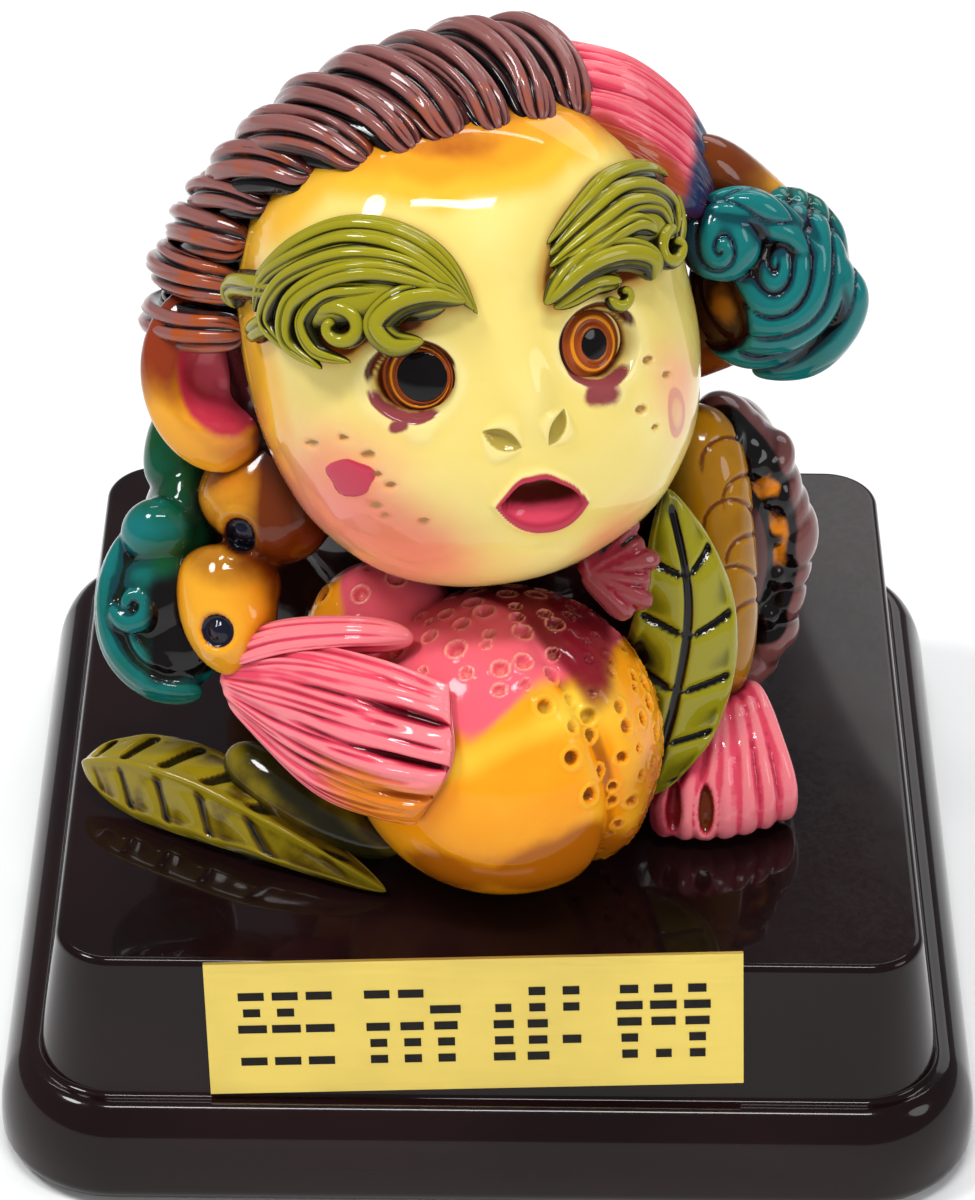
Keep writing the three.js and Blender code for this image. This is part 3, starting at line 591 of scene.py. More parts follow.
def brow_shells():
    """Eyebrows as bundles of carved strands over low pads, with curls."""
    shells = []
    for places, width, thickness in BROW_PADS:
        path = [on_face(x, z, 0.2) for x, z in places]
        shells.append(over_head(path, lambda t: (width, thickness), around=BROW_AROUND, along=40, power=3))
    taper = lambda t, share: 1 - share * np.abs(2 * t - 1) ** 3
    for strands in (LEFT_STRANDS, RIGHT_STRANDS):
        for k, (places, width, lift) in enumerate(strands):
            path = [on_face(x, z, lift) for x, z in places]
            size = lambda t: (1.12 * width * taper(t, 0.5), 1.25 * width * taper(t, 0.4))
            relief = streaks(5, 0.26, 0.36, phase=0.8 * k)
            shells.append(over_head(path, size, around=BROW_AROUND, along=60, power=6, relief=relief))
    for x, z, radius, start, turn, thickness in BROW_CURLS:
        angle = np.radians(start + turn * np.linspace(0, 1, 14))
        reach = radius * (1 - 0.72 * np.linspace(0, 1, 14))
        path = [
            on_face(x + r * math.cos(a), z + r * math.sin(a), 1.5 + 0.6 * i / 13)
            for i, (a, r) in enumerate(zip(angle, reach))
        ]
        size = lambda t: (thickness * (1 - 0.25 * t), thickness * 1.2)
        shells.append(over_head(path, size, around=BROW_AROUND, along=64, power=8))
    return shells


def crests(shells, around):
    """How near its sweep's crest each point lies: 1 on the crest, 0 at the flanks, below 0 underneath."""
    ring = np.sin(np.linspace(0, 2 * np.pi, around, endpoint=False))
    return np.concatenate([np.concatenate([[0.0], np.tile(ring, (len(v) - 2) // around), [0.0]]) for v, _ in shells])


def ear_shells():
    """The right ear: a shell with a rolled rim and a three-cornered bowl."""

    def bowl(own):
        x, z = (own[..., 0] - 0.04) / 0.74, (own[..., 2] - 0.1) / 0.76
        angle = np.arctan2(z, x)
        far = np.hypot(x, z) * (1 + 0.12 * np.cos(3 * angle - 0.9))
        depth = 0.95 * (1 - smooth(far, 0.35, 0.95)) - 0.5 * bump(np.hypot(x + 0.1, z - 0.5), 0.28)
        depth = depth - 0.25 * bump(np.hypot(x - 0.1, (z + 0.1) / 2.2), 0.16)
        moved = own.copy()
        moved[..., 1] = np.where(own[..., 1] < 0, own[..., 1] + depth, own[..., 1])
        return moved

    return [
        ball((-31.9, -9.4, 53), (8.7, 4.2, 11.1), (-24, -12, 16), 130, 100, carve=bowl),
        ball((-29, -2.4, 56.5), (5.0, 5.2, 6.0)),
    ]


def beyond_cleft(own):
    """How far a place on the peach lies beyond its cleft, on the side away from the hand."""
    return own @ np.array([0.749, 0.659, 0.067]) - 0.06


def peach_net(around, along):
    """The peach with its cleft."""

    def place(direction, angle, station):
        own = np.stack([direction[..., 0], -direction[..., 2], direction[..., 1]], -1)
        off = beyond_cleft(own)
        side = smooth(own[..., 0], 0.02, 0.35)
        reach = 1 - 0.08 * side * bump(off, 0.1) + 0.02 * side * bump(off - 0.2, 0.16)
        return own * PEACH_HALF * reach[..., None] + PEACH_CENTRE

    return netted(around, along, place)


def peach_shells(around, along):
    """The peach and the shoulder of it that shows behind the thumb."""
    return [
        peach_net(around, along),
        ball((-12.8, -18.2, 24.4), (8.8, 7.4, 8.0), (0, -18, 0), 80, 60),
    ]


RIGHT_FINGERS = [
    [(-31.2, -24.4, 22.4), (-21.9, -30.2, 27.2), (-12.6, -36.2, 29.2), (-4.6, -40.6, 29.4)],
    [(-31.2, -25.2, 21.4), (-22.0, -33.0, 24.0), (-12.7, -39.6, 25.6), (-4.2, -43.8, 26.2)],
    [(-30.8, -26.0, 20.4), (-21.0, -35.0, 20.7), (-12.8, -41.6, 21.8), (-5.2, -45.2, 22.8)],
    [(-30.2, -26.8, 19.2), (-19.9, -36.4, 16.9), (-12.8, -42.0, 17.8), (-7.2, -45.0, 18.8)],
]
RIGHT_THUMB = [(-30.6, -23.2, 23.2), (-23.2, -26.8, 28.6), (-16.2, -29.4, 31.4), (-9.0, -31.2, 32.4)]
LEFT_FINGERS = [
    [(24.8, 6, 73.2), (19.2, 5, 81), (13.2, 3.8, 86.2), (5.2, 3, 88.6)],
    [(24.8, 3.4, 72.6), (19.2, 1.8, 80.2), (13.2, 0.4, 85.4), (5.6, -0.4, 87.6)],
    [(24.6, 0.6, 71.2), (19.8, -1.6, 78), (14.4, -3.2, 83), (7.6, -3.8, 85.8)],
    [(24.6, -1.4, 69.8), (20.8, -4, 75.4), (16.6, -5.6, 79.6), (10, -6.4, 83.6)],
]


def paw_shells():
    """The hand on the peach: one streaked fan with parted fingertips, and the thumb above it."""
    palm = ball((-22.6, -26.8, 21.4), (5.6, 4.0, 4.0), (0, 20, 20))
    fingers = hand_shell(RIGHT_FINGERS, PEACH_CENTRE, 2.5, 40, 7)
    relief = streaks(8, 0.13, 0.4, fade=(0.75, 1.0), phase=0.7, fine=0.04)
    size = lambda t: (3.3 - 1.5 * t, 2.3)
    thumb = sweep(RIGHT_THUMB, size, origin=PEACH_CENTRE, around=96, along=70, power=5, relief=relief)
    return [palm, fingers, thumb]


def raised_hand_shells():
    """The hand that lies on the head, streaked like the other."""
    return [hand_shell(LEFT_FINGERS, HEAD_CENTRE, 2.4, 44, 21, along=70, parting=0.2)]


arm_sweep = partial(sweep, around=60, along=40)


def right_arm_shells():
    """Upper arm and forearm beside the peach."""
    upper_arm = [(-16, 0, 44), (-24.5, -10, 39.5), (-29.4, -15.5, 33)]
    forearm = [(-30.2, -14, 32.0), (-30.6, -19.6, 28.6), (-28.6, -25.6, 22.6)]
    return [
        arm_sweep(upper_arm, lambda t: (8.2, 7.6)),
        arm_sweep(forearm, lambda t: (7.0 - 2.2 * t, 6.6 - 2 * t), power=3),
    ]


def left_arm_shells():
    """Upper arm and forearm of the raised arm."""
    upper_arm = [(14, 8, 44.5), (24, 5, 51.4), (31, 3, 57), (34, 4, 60.6)]
    forearm = [(35.4, 5.5, 57.4), (32, 6, 63.2), (26.4, 5, 70.2), (20.6, 3.5, 76.6)]
    return [
        arm_sweep(upper_arm, lambda t: (5.8, 5.8)),
        arm_sweep(forearm, lambda t: (5.4 - t, 5 - t)),
    ]


def scroll(centre, radius, start, turn, thickness, normal):
    """A spiral roll that lies square to `normal`, as on a carved cloud."""
    steps = 14
    rise_by = 1.1
    normal = unit(np.array(normal, float))
    side = unit(np.array([1.0, 0, 0]) - normal[0] * normal)
    rise = np.cross(normal, side)
    path = []
    for i in range(steps + 1):
        angle = math.radians(start + turn * i / steps)
        reach = radius * (1 - 0.85 * i / steps)
        flat = np.array(centre) + side * reach * math.cos(angle) + rise * reach * math.sin(angle)
        path.append(flat + normal * rise_by * i / steps)
    size = lambda t: (thickness * (1 - 0.35 * t), thickness)
    return sweep(path, size, up=normal, around=30, along=110, power=8)


def drape_shells():
    """The cloud-edged drape beside the right arm."""
    facing = (-0.3, -0.62, 0.72)
    hem = [
        (-42.4, -13, 34),
        (-44.2, -16.6, 27),
        (-43.2, -19.4, 21.4),
        (-39.4, -21.4, 18.2),
        (-33.6, -22.6, 17.6),
    ]
    inner = [(-40.4, -15, 32), (-41.4, -18, 25), (-40, -20, 21.4), (-36.4, -21.4, 19.4)]
    return [
        ball((-36.6, -9, 29.5), (5.2, 8.5, 12), (-20, 8, 0)),
        sweep([(-33, 1, 45), (-36.6, -4, 41.4), (-37.6, -9, 36)], lambda t: (3.8, 4.0)),
        ball((-38.6, -13.8, 34.2), (4.6, 3.8, 4.4)),
        ball((-38.8, -15.6, 26.4), (5.6, 5.4, 7.8), (-10, 12, 0)),
        ball((-37.0, -19.2, 21.6), (5.4, 3.2, 5.4), (-10, -30, 0)),
        scroll((-41.2, -19.4, 27.8), 2.6, 160, 420, 1.3, facing),
        sweep(hem, lambda t: (2.1, 2.8), up=facing, along=80, around=50, relief=streaks(5, 0.16, 0.3)),
        sweep(inner, lambda t: (1.1, 3.0), up=facing, along=60),
    ]


def sleeve_shells():
    """The cloud-like sleeve over the raised elbow, before its rings are carved."""
    facing = (0.12, -0.72, 0.68)
    hem = [
        (22.0, -3.4, 72.2),
        (28.4, -2.8, 72.4),
        (34.4, -2.0, 66.8),
        (40.2, -1.6, 59.6),
        (36.8, -2.6, 52.8),
        (29.6, -3, 50.4),
    ]
    return [
        ball((31.4, 0.4, 61.0), (8.9, 5.6, 10.9), (-26, 24, 0), 60, 40),
        ball((31.8, -2.5, 62.8), (8.2, 4.8, 9.0), (-30, 30, 0), 60, 40),
        ball((25.2, -4.6, 69.0), (4.8, 3.2, 4.6), (-30, 30, 0), 40, 30),
        sweep(hem, lambda t: (2.6, 2.9), up=facing, along=90, around=50),
    ]


RING_CENTRES = [(25.2, 70.2), (31.6, 66.4)]
RING_MERGING = 0.55


def ring_height(points):
    """Height of the cloud rings at a place: coils about two centres that run together into long bands."""
    along_x = points[:, 0]
    along_z = 0.9 * points[:, 2] - 0.35 * points[:, 1]
    total, turned = 0, 0
    for x, z in RING_CENTRES:
        dx, dz = along_x - x, along_z - (0.9 * z + 0.35 * 6.5)
        share = np.exp(-RING_MERGING * np.hypot(dx, dz))
        total = total + share
        turned = turned + share * np.arctan2(dz, dx)
    total = np.maximum(total, 1e-9)
    far = -np.log(total) / RING_MERGING
    swirl = 0.16 * turned / total * (1 - smooth(far, 3.5, 6))
    phase = 3.7 * np.log1p(np.maximum(far, -0.9) / 5.5) + swirl
    phase = phase + 0.12 * np.sin(0.5 * along_x + 0.3 * along_z)
    return np.abs(np.sin(np.pi * phase)) ** 0.55, far


def shin_shells():
    """The shin of the drawn-up left leg."""
    shin = [(22.8, 1.6, 42.6), (24.6, -4.6, 36.4), (26.2, -9.6, 25), (27.2, -13.4, 10)]
    return [sweep(shin, lambda t: (5.6 - 0.8 * t, 5.4), around=80, along=80, power=4)]


def foot_shells(count):
    """The foot with its toes as long rounded ridges."""
    shells = [
        ball((27.4, -17.8, 4.4), (7.9, 9.2, 6.4), (8, 0, 0), 60, 40),
        ball((27.4, -19.6, 3.4), (7.6, 8.2, 5.0), (0, 0, 0), 60, 40),
    ]
    for i in range(count):
        share = i / (count - 1)
        x = 20.6 + 13.8 * share
        y = -28.2 + 0.3 * (5 * share - 1.4) ** 2
        top = 27.6 + 0.4 * (x - 27.4)
        path = [(top, y + 13, 11.4), ((x + top) / 2, y + 6.0, 9.6), (x, y + 1.4, 4.8), (x, y + 0.6, 0.8)]
        relief = streaks(5, 0.1, 0.5, phase=i, fine=0.03)
        shells.append(sweep(path, lambda t: (1.9, 2.3), around=50, along=70, power=7, relief=relief))
    return shells


def fur_shells(count):
    """The lobed fur behind the shin."""
    edge = [(27.6, 1.6, 39.2), (32.4, 1, 34.6), (35.2, 0.6, 25), (34, -1, 14), (30, -3, 8.6)]
    shells = [ball((28.6, 5, 23), (7.4, 12, 17))]
    for i, point in enumerate(along_curve(edge, np.linspace(0, 1, count))):
        tilt = 80 * i / (count - 1) - 40
        grow = 1 + 0.16 * math.sin(2.3 * i + 1)
        shells.append(ball(point, (3.2 * grow, 4.8, 4.4 * grow), (0, tilt, 0)))
    for i, point in enumerate(along_curve(edge, np.linspace(0.06, 0.94, count - 1))):
        shells.append(ball(point, (3.0, 4.4, 3.6 + 0.5 * math.sin(1.7 * i)), (0, 60 - 24 * i, 0)))
    for i, point in enumerate(along_curve(EMBER_LINE, np.linspace(0.05, 0.95, 6))):
        shells.append(ball(point, (1.6, 2.4, 1.9), (0, 40 - 14 * i, 0), 28, 20))
    return shells


EMBER_LINE = [(26.8, -1.6, 41.4), (31.6, -1.8, 34.6), (33.6, -2.4, 25), (32.6, -3.8, 15)]


def ruff_shells():
    """The ruffled fur under the chin, on the peach's far side."""
    shells = []
    root = np.array([10, -26.4, 38])
    for i in range(8):
        angle = math.radians(84 - 18.5 * i)
        reach = 1 - 0.12 * (i % 2)
        tip = root + reach * np.array([9 * math.cos(angle), 4 * math.sin(angle) + 1, 7.4 * math.sin(angle)])
        shells.append(
            sweep(
                [root, (root + tip) / 2 + np.array([0, -0.4, 0.4]), tip],
                lambda t: (0.75 + 0.9 * t, 2.0),
                up=(0.3, -0.7, 0.6),
                around=44,
                along=50,
                relief=streaks(7, 0.25, 0.3, phase=i),
            )
        )
    return shells


def body_shells():
    """Trunk, haunches and the flat overlapping tufts down the back."""
    shells = [
        ball(TRUNK_CENTRE, TRUNK_HALF, around=80, along=60),
        ball((-20, 8, 13), (13, 17, 14.5), (0, 0, 10), 60, 40),
        ball((20, 10, 14), (13, 16, 15.5), (0, 0, -10), 60, 40),
        ball((0, -8, 10), (20, 22, 13), (0, 0, 0), 60, 40),
        ball((-2, -8, 38), (13, 12, 12)),
    ]

    def on_back(turn, height, lift):
        own = np.array([0, math.cos(math.radians(height)), math.sin(math.radians(height))])
        own = rotation(0, 0, -turn) @ own
        return own * TRUNK_HALF * (1 + lift / TRUNK_HALF[0]) + TRUNK_CENTRE

    for row in range(4):
        height = 32 - 24 * row
        for i in range(-2, 3):
            turn = 30 * i + (15 if row % 2 else 0)
            places = [(0, 14, -1.2), (3, 0, 0.7), (5, -15, 0.3)]
            path = [on_back(turn + swing, height + rise, lift) for swing, rise, lift in places]
            size = lambda t: (5.4 - 3.4 * t, 1.6)
            relief = streaks(7, 0.14, 0.35, phase=row + i)
            shells.append(sweep(path, size, origin=TRUNK_CENTRE, around=44, along=40, relief=relief))
    return shells


def leaf_net(path, half_width, thickness, up, veins):
    """A leaf pointed at both ends, with its midrib and veins; also how deep each point lies in a vein."""
    around = 96
    t = stations(140)
    centre, side, over = curve_frame(path, t, up, None)
    angle = np.linspace(0, 2 * np.pi, around, endpoint=False)[None, :]
    width = (half_width * np.maximum(0, np.sin(np.pi * t**0.85)) ** 0.7)[:, None]
    end = blunted(t, 6)[:, None]
    u = np.cos(angle) + 0 * t[:, None]
    upper = smooth(np.sin(angle), 0.0, 0.25)
    reach = np.linalg.norm(np.diff(np.asarray(path, float), axis=0), axis=1).sum()
    slant = (t[:, None] - veins["slant"] * np.abs(u) * half_width / reach) * veins["count"] + veins["shift"]
    side_vein = bump(np.abs((slant % 1) - 0.5) / veins["count"] * reach, veins["width"])
    side_vein = side_vein * smooth(np.abs(u), 0.05, 0.2) * (1 - smooth(np.abs(u), 0.8, 0.97))
    side_vein = side_vein * smooth(t, 0.05, 0.14)[:, None]
    side_vein = side_vein * (1 - smooth(t, 0.86, 0.95))[:, None] * np.where(u > 0, 1.0, veins["lower"])
    rib = bump(u * width, veins["rib"]) * (1 - smooth(t, 0.93, 0.99))[:, None]
    groove = np.maximum(side_vein, np.maximum(rib, 0) * veins["groove"]) * upper
    ridge = width * (veins["roof"] - (veins["roof"] + 0.15) * np.abs(u))
    wave = 0.25 * np.sin(2 * np.pi * slant) * smooth(np.abs(u), 0.1, 0.9) * upper
    height = thickness * end * np.sin(angle) + ridge - veins["depth"] * groove * end + wave * end
    rim = 0.3 * bump(np.abs(u) - 0.9, 0.08) * upper * end + (1 - veins["groove"]) * 0.5 * rib * upper
    points = centre[:, None] + (width * u)[..., None] * side[:, None]
    points = points + (height + rim)[..., None] * over[:, None]
    vertices, faces = closed_net(points)
    depth = np.concatenate([groove[:1, 0], groove[1:-1].reshape(-1), groove[-1:, 0]])
    return vertices, faces, depth


LEAVES = [
    (
        [(-48.4, -19, 4.2), (-42.4, -20.8, 4.6), (-35, -24.4, 4.8), (-26.5, -30, 4.2), (-12, -38, 0.8)],
        5.6,
        1.3,
        (-0.2, -0.55, 0.8),
        {
            "count": 6,
            "slant": 0.7,
            "shift": 0.2,
            "width": 0.8,
            "rib": 0.5,
            "depth": 1.1,
            "lower": 0.35,
            "roof": 0.42,
            "groove": 0.0,
        },
    ),
    (
        [(18.0, -27.4, 7), (20.9, -24.8, 18.4), (22.2, -22.0, 31), (19.6, -18.8, 44.8)],
        6.6,
        1.4,
        (0.1, -0.8, 0.6),
        {
            "count": 5.5,
            "slant": 0.4,
            "shift": 0.35,
            "width": 0.5,
            "rib": 0.55,
            "depth": 0.9,
            "lower": 1.0,
            "roof": 0.12,
            "groove": 1.0,
        },
    ),
]


@lru_cache(maxsize=None)
def figure_shells(locks, toes, lobes):
    """Every group of the figure, as lists of shells."""
    second_leaf = [(-31, -22.6, 9.2), (-22, -29, 6.8), (-10, -33.6, 4)]
    return {
        "face": face_shells(),
        "brows": brow_shells(),
        "hair": lock_shells(locks),
        "back_hair": back_lock_shells(),
        "ear": ear_shells(),
        "peach": peach_shells(160, 110),
        "right_arm": right_arm_shells(),
        "paw": paw_shells(),
        "drape": drape_shells(),
        "left_arm": left_arm_shells(),
        "raised_hand": raised_hand_shells(),
        "sleeve": sleeve_shells(),
        "shin": shin_shells(),
        "foot": foot_shells(toes),
        "fur": fur_shells(lobes),
        "ruff": ruff_shells(),
        "body": body_shells(),
        "leaves": [leaf_net(*leaf)[:2] for leaf in LEAVES]
        + [sweep(second_leaf, lambda t: (3.6, 2.6), up=(-0.5, -0.5, 0.7), around=60, along=80)],
    }


def shells_of(context):
    """The figure's groups for the scene's settings."""
    sizes = context.scene.figurine_sizes
    return figure_shells(sizes.lock_count, sizes.toe_count, sizes.fur_count)


# From shells to finished meshes


def raw_mesh(name, shells):
    """One mesh in millimetres from several shells."""
    vertices, faces, start = [], [], 0
    for points, shell_faces in shells:
        vertices.append(points)
        faces.extend([[start + i for i in face] for face in shell_faces])
        start += len(points)
    mesh = bpy.data.meshes.new(name)
    mesh.from_pydata(np.vstack(vertices).tolist(), [], faces)
    return mesh


def fused(name, shells, grain):
    """The shells fused into one closed skin with faces of about `grain` millimetres."""
    source = bpy.data.objects.new(name + "_rough", raw_mesh(name, shells))
    bpy.context.scene.collection.objects.link(source)
    remesh = source.modifiers.new("Fuse", "REMESH")
    remesh.mode = "VOXEL"
    remesh.voxel_size = grain
    remesh.adaptivity = 0.0
    result = bpy.data.meshes.new_from_object(source.evaluated_get(bpy.context.evaluated_depsgraph_get()))
    rough = source.data
    bpy.data.objects.remove(source)
    bpy.data.meshes.remove(rough)
    result.name = name
    return result


def coordinates(mesh):
    """The mesh's points as an array."""
    out = np.empty(len(mesh.vertices) * 3, np.float32)
    mesh.vertices.foreach_get("co", out)
    return out.reshape(-1, 3).astype(float)


def place_coordinates(mesh, points):
    """Puts an array of points back on the mesh."""
    mesh.vertices.foreach_set("co", points.astype(np.float32).ravel())
    mesh.update()


def normals(mesh):
    """The mesh's point normals as an array."""
    out = np.empty(len(mesh.vertices) * 3, np.float32)
    mesh.vertices.foreach_get("normal", out)
    return out.reshape(-1, 3).astype(float)


def edge_ends(mesh):
    """Both ends of every edge."""
    out = np.empty(len(mesh.edges) * 2, np.int32)
    mesh.edges.foreach_get("vertices", out)
    return out.reshape(-1, 2).T


def relaxed(values, ends, share, times):
    """Values of the mesh's points, drawn towards their neighbours' mean."""
    a, b = ends
    count = len(values)
    degree = np.maximum(np.bincount(a, minlength=count) + np.bincount(b, minlength=count), 1)
    for step in range(times):
        move = share[step % len(share)]
        mean = np.empty_like(values)
        for axis in range(values.shape[1]):
            column = values[:, axis]
            mean[:, axis] = (np.bincount(a, column[b], count) + np.bincount(b, column[a], count)) / degree
        values = values + move * (mean - values)
    return values


@lru_cache(maxsize=None)
def hollow_field(locks, toes, lobes):
    """How full the space round each place is, at a fine and a broad scale, on one grid; it sets the painted shade."""
    groups = figure_shells(locks, toes, lobes)
    whole = fused("whole", [shell for shells in groups.values() for shell in shells], 1.0)
    tree = BVHTree.FromPolygons(coordinates(whole).tolist(), [list(p.vertices) for p in whole.polygons])
    points = coordinates(whole)
    low, high, step = points.min(0) - 6, points.max(0) + 6, 0.8
    bpy.data.meshes.remove(whole)
    shape = np.ceil((high - low) / step).astype(int)
    full = np.zeros(shape, np.float32)
    up = Vector((0, 0, 1))
    for i in range(shape[0]):
        for j in range(shape[1]):
            at = Vector((low[0] + i * step, low[1] + j * step, low[2]))
            hits = []
            while True:
                hit = tree.ray_cast(at, up)
                if hit[0] is None:
                    break
                hits.append((hit[0].z - low[2]) / step)
                at = hit[0] + up * 1e-3
            for bottom, top in zip(hits[::2], hits[1::2]):
                full[i, j, int(math.ceil(bottom)) : int(math.floor(top)) + 1] = 1
    # the stand below counts as partly full, so painted shade deepens near it
    full[:, :, : int((0 - low[2]) / step)] = 0.6
    fields = []
    for sigma in (1.1, 3.4):
        reach = int(math.ceil(2.5 * sigma / step))
        kernel = bump(np.arange(-reach, reach + 1) * step, sigma * math.sqrt(2))
        kernel = kernel / kernel.sum()
        field = full
        for axis in range(3):
            field = sum(w * np.roll(field, k - reach, axis) for k, w in enumerate(kernel))
        fields.append(field)
    return low, step, fields


def fullness(context, points, which):
    """The grid's value at each point: more than usual in a hollow, less on a ridge."""
    sizes = context.scene.figurine_sizes
    low, step, fields = hollow_field(sizes.lock_count, sizes.toe_count, sizes.fur_count)
    field = fields[which]
    place = np.clip((points - low) / step, 0, np.array(field.shape) - 1.001)
    cell = place.astype(int)
    share = place - cell
    total = np.zeros(len(points))
    for corner in range(8):
        bits = np.array([corner >> 2 & 1, corner >> 1 & 1, corner & 1])
        weight = np.prod(np.where(bits == 1, share, 1 - share), axis=1)
        index = cell + bits
        total += weight * field[index[:, 0], index[:, 1], index[:, 2]]
    return total


def store(mesh, name, values):
    """Keeps one number for each point of the mesh."""
    attribute = mesh.attributes.new(name, "FLOAT", "POINT")
    attribute.data.foreach_set("value", np.asarray(values, np.float32))


def store_pool_and_shade(context, mesh, points, grain):
    """Keeps where glaze pools, darkened as painted shade where other surfaces crowd round: 0 on ridges, 0.5 on open
    faces, 1 in grooves and hollows; also keeps that painted shade alone.
    """
    ends = edge_ends(mesh)
    out = normals(mesh)
    fine_steps = max(4, int(2 * (0.55 / grain) ** 2))
    broad_steps = max(10, int(2 * (1.5 / grain) ** 2))
    near = relaxed(points, ends, (0.6,), fine_steps)
    far = relaxed(near, ends, (0.6,), broad_steps)
    fine = ((near - points) * out).sum(1)
    broad = ((far - points) * out).sum(1)
    crowd = fullness(context, points + 0.5 * out, 0) - 0.38
    deep = fullness(context, points + 2.0 * out, 1) - 0.33
    # glaze pooling follows the surface's curves (fine, broad); crowd and deep add painted shade where other surfaces
    # crowd round
    pool_and_shade = 0.5 + 3.0 * fine + 0.8 * broad + 0.9 * crowd + 0.6 * deep
    store(mesh, "pool_and_shade", np.clip(pool_and_shade, 0, 1))
    store(mesh, "shade", np.clip(2.8 * deep + 1.2 * crowd, 0, 1))


def finish_piece(context, name, mesh, points, material, node, grain):
    """Brings a mesh to metres on the stand, and makes it a piece of the figure."""
    place_coordinates(mesh, points)
    store_pool_and_shade(context, mesh, points, grain)
    place_coordinates(mesh, points * MM + np.array([0, 0, STAND_TOP]))
    return placed(name, mesh, [material], node)


def placed(name, mesh, materials, node):
    """A finished mesh as a piece that rides on the part and stands for a node."""
    mesh.materials.clear()
    for material in materials:
        mesh.materials.append(material)
    mesh.shade_smooth()
    piece = bpy.data.objects.new(name, mesh)
    bpy.context.scene.collection.objects.link(piece)
    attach(piece, "root")
    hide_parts(node)
    return piece


def level_cut(points):
    """Presses what lies below the stand's top up to it, where the casting is ground flat."""
    points = points.copy()
    points[:, 2] = np.maximum(points[:, 2], 0.0)
    return points


def cast(context, name, shells, grain, material, mend=None, steps=4):
    """Fuses shells, smooths them, lets `mend(points, mesh)` carve them, and finishes the piece."""
    mesh = fused(name, shells, grain)
    points = relaxed(coordinates(mesh), edge_ends(mesh), (0.55, -0.5), 2 * steps)
    if mend is not None:
        place_coordinates(mesh, points)
        points = mend(points, mesh)
    return finish_piece(context, name, mesh, level_cut(points), material, "monkey_figure", grain)


def laid(context, name, shells, grain, material, mend=None):
    """Finishes shells as they are, each closed by itself, after `mend(points, mesh)` has carved and marked them."""
    mesh = raw_mesh(name, shells)
    outward(mesh)
    points = coordinates(mesh)
    if mend is not None:
        points = mend(points, mesh)
    return finish_piece(context, name, mesh, level_cut(points), material, "monkey_figure", grain)


# Materials


def node(tree, kind, inputs=None, **settings):
    """Adds a node, sets its properties and feeds its inputs with values or sockets."""
    made = tree.nodes.new(kind)
    for key, value in settings.items():
        setattr(made, key, value)
    for key, value in (inputs or {}).items():
        if isinstance(value, bpy.types.NodeSocket):
            tree.links.new(value, made.inputs[key])
        else:
            made.inputs[key].default_value = value
    return made


def rgba(value):
    """A colour with full alpha."""
    return (*tuple(value)[:3], 1.0)


def group_tree(name, inputs, outputs):
    """A new shader node group with its sockets; returns the tree, its input node and its output node."""
    tree = bpy.data.node_groups.new(name, "ShaderNodeTree")
    for label, kind, default in inputs:
        socket = tree.interface.new_socket(label, in_out="INPUT", socket_type=kind)
        socket.default_value = default
    for label, kind in outputs:
        tree.interface.new_socket(label, in_out="OUTPUT", socket_type=kind)
    return tree, tree.nodes.new("NodeGroupInput"), tree.nodes.new("NodeGroupOutput")


COLOUR, NUMBER = "NodeSocketColor", "NodeSocketFloat"


def ramp(tree, value, low, high):
    """A soft step between two values."""
    made = node(tree, "ShaderNodeMapRange", {0: value, 1: low, 2: high}, interpolation_type="SMOOTHSTEP")
    return made.outputs[0]


def blend(tree, share, first, second):
    """A mix of two colours."""
    made = node(tree, "ShaderNodeMix", {0: share, 6: first, 7: second}, data_type="RGBA")
    return made.outputs[2]


def pooled_and_shaded_group():
    """Glaze that is thin and pale on ridges, full on open faces and dark in grooves and where painted shade lies."""
    grey = (0.5, 0.5, 0.5, 1)
    tree, enter, leave = group_tree(
        "Pooled glaze and painted shade",
        [
            ("Pool and shade", NUMBER, 0.5),
            ("Thin", COLOUR, grey),
            ("Body", COLOUR, grey),
            ("Deep", COLOUR, grey),
            ("Ink", COLOUR, grey),
            ("Ink depth", NUMBER, 0.85),
            ("Mottle", NUMBER, 0.2),
            ("Mottle scale", NUMBER, 260.0),
        ],
        [("Color", COLOUR), ("Mottling", NUMBER)],
    )
    place = node(tree, "ShaderNodeTexCoord").outputs["Object"]
    cloud = node(
        tree,
        "ShaderNodeTexNoise",
        {"Vector": place, "Scale": enter.outputs["Mottle scale"], "Detail": 4.0, "Roughness": 0.6},
    ).outputs["Fac"]
    swing = node(tree, "ShaderNodeMath", {0: cloud, 1: 0.5}, operation="SUBTRACT").outputs[0]
    swing = node(tree, "ShaderNodeMath", {0: swing, 1: enter.outputs["Mottle"]}, operation="MULTIPLY").outputs[0]
    level = node(tree, "ShaderNodeMath", {0: enter.outputs["Pool and shade"], 1: swing}, operation="ADD").outputs[0]
    made = blend(tree, ramp(tree, level, 0.12, 0.46), enter.outputs["Thin"], enter.outputs["Body"])
    made = blend(tree, ramp(tree, level, 0.5, 0.78), made, enter.outputs["Deep"])
    low = node(tree, "ShaderNodeMath", {0: enter.outputs["Ink depth"], 1: 0.14}, operation="SUBTRACT").outputs[0]
    made = blend(tree, ramp(tree, level, low, enter.outputs["Ink depth"]), made, enter.outputs["Ink"])
    tree.links.new(made, leave.inputs["Color"])
    tree.links.new(cloud, leave.inputs["Mottling"])
    return tree


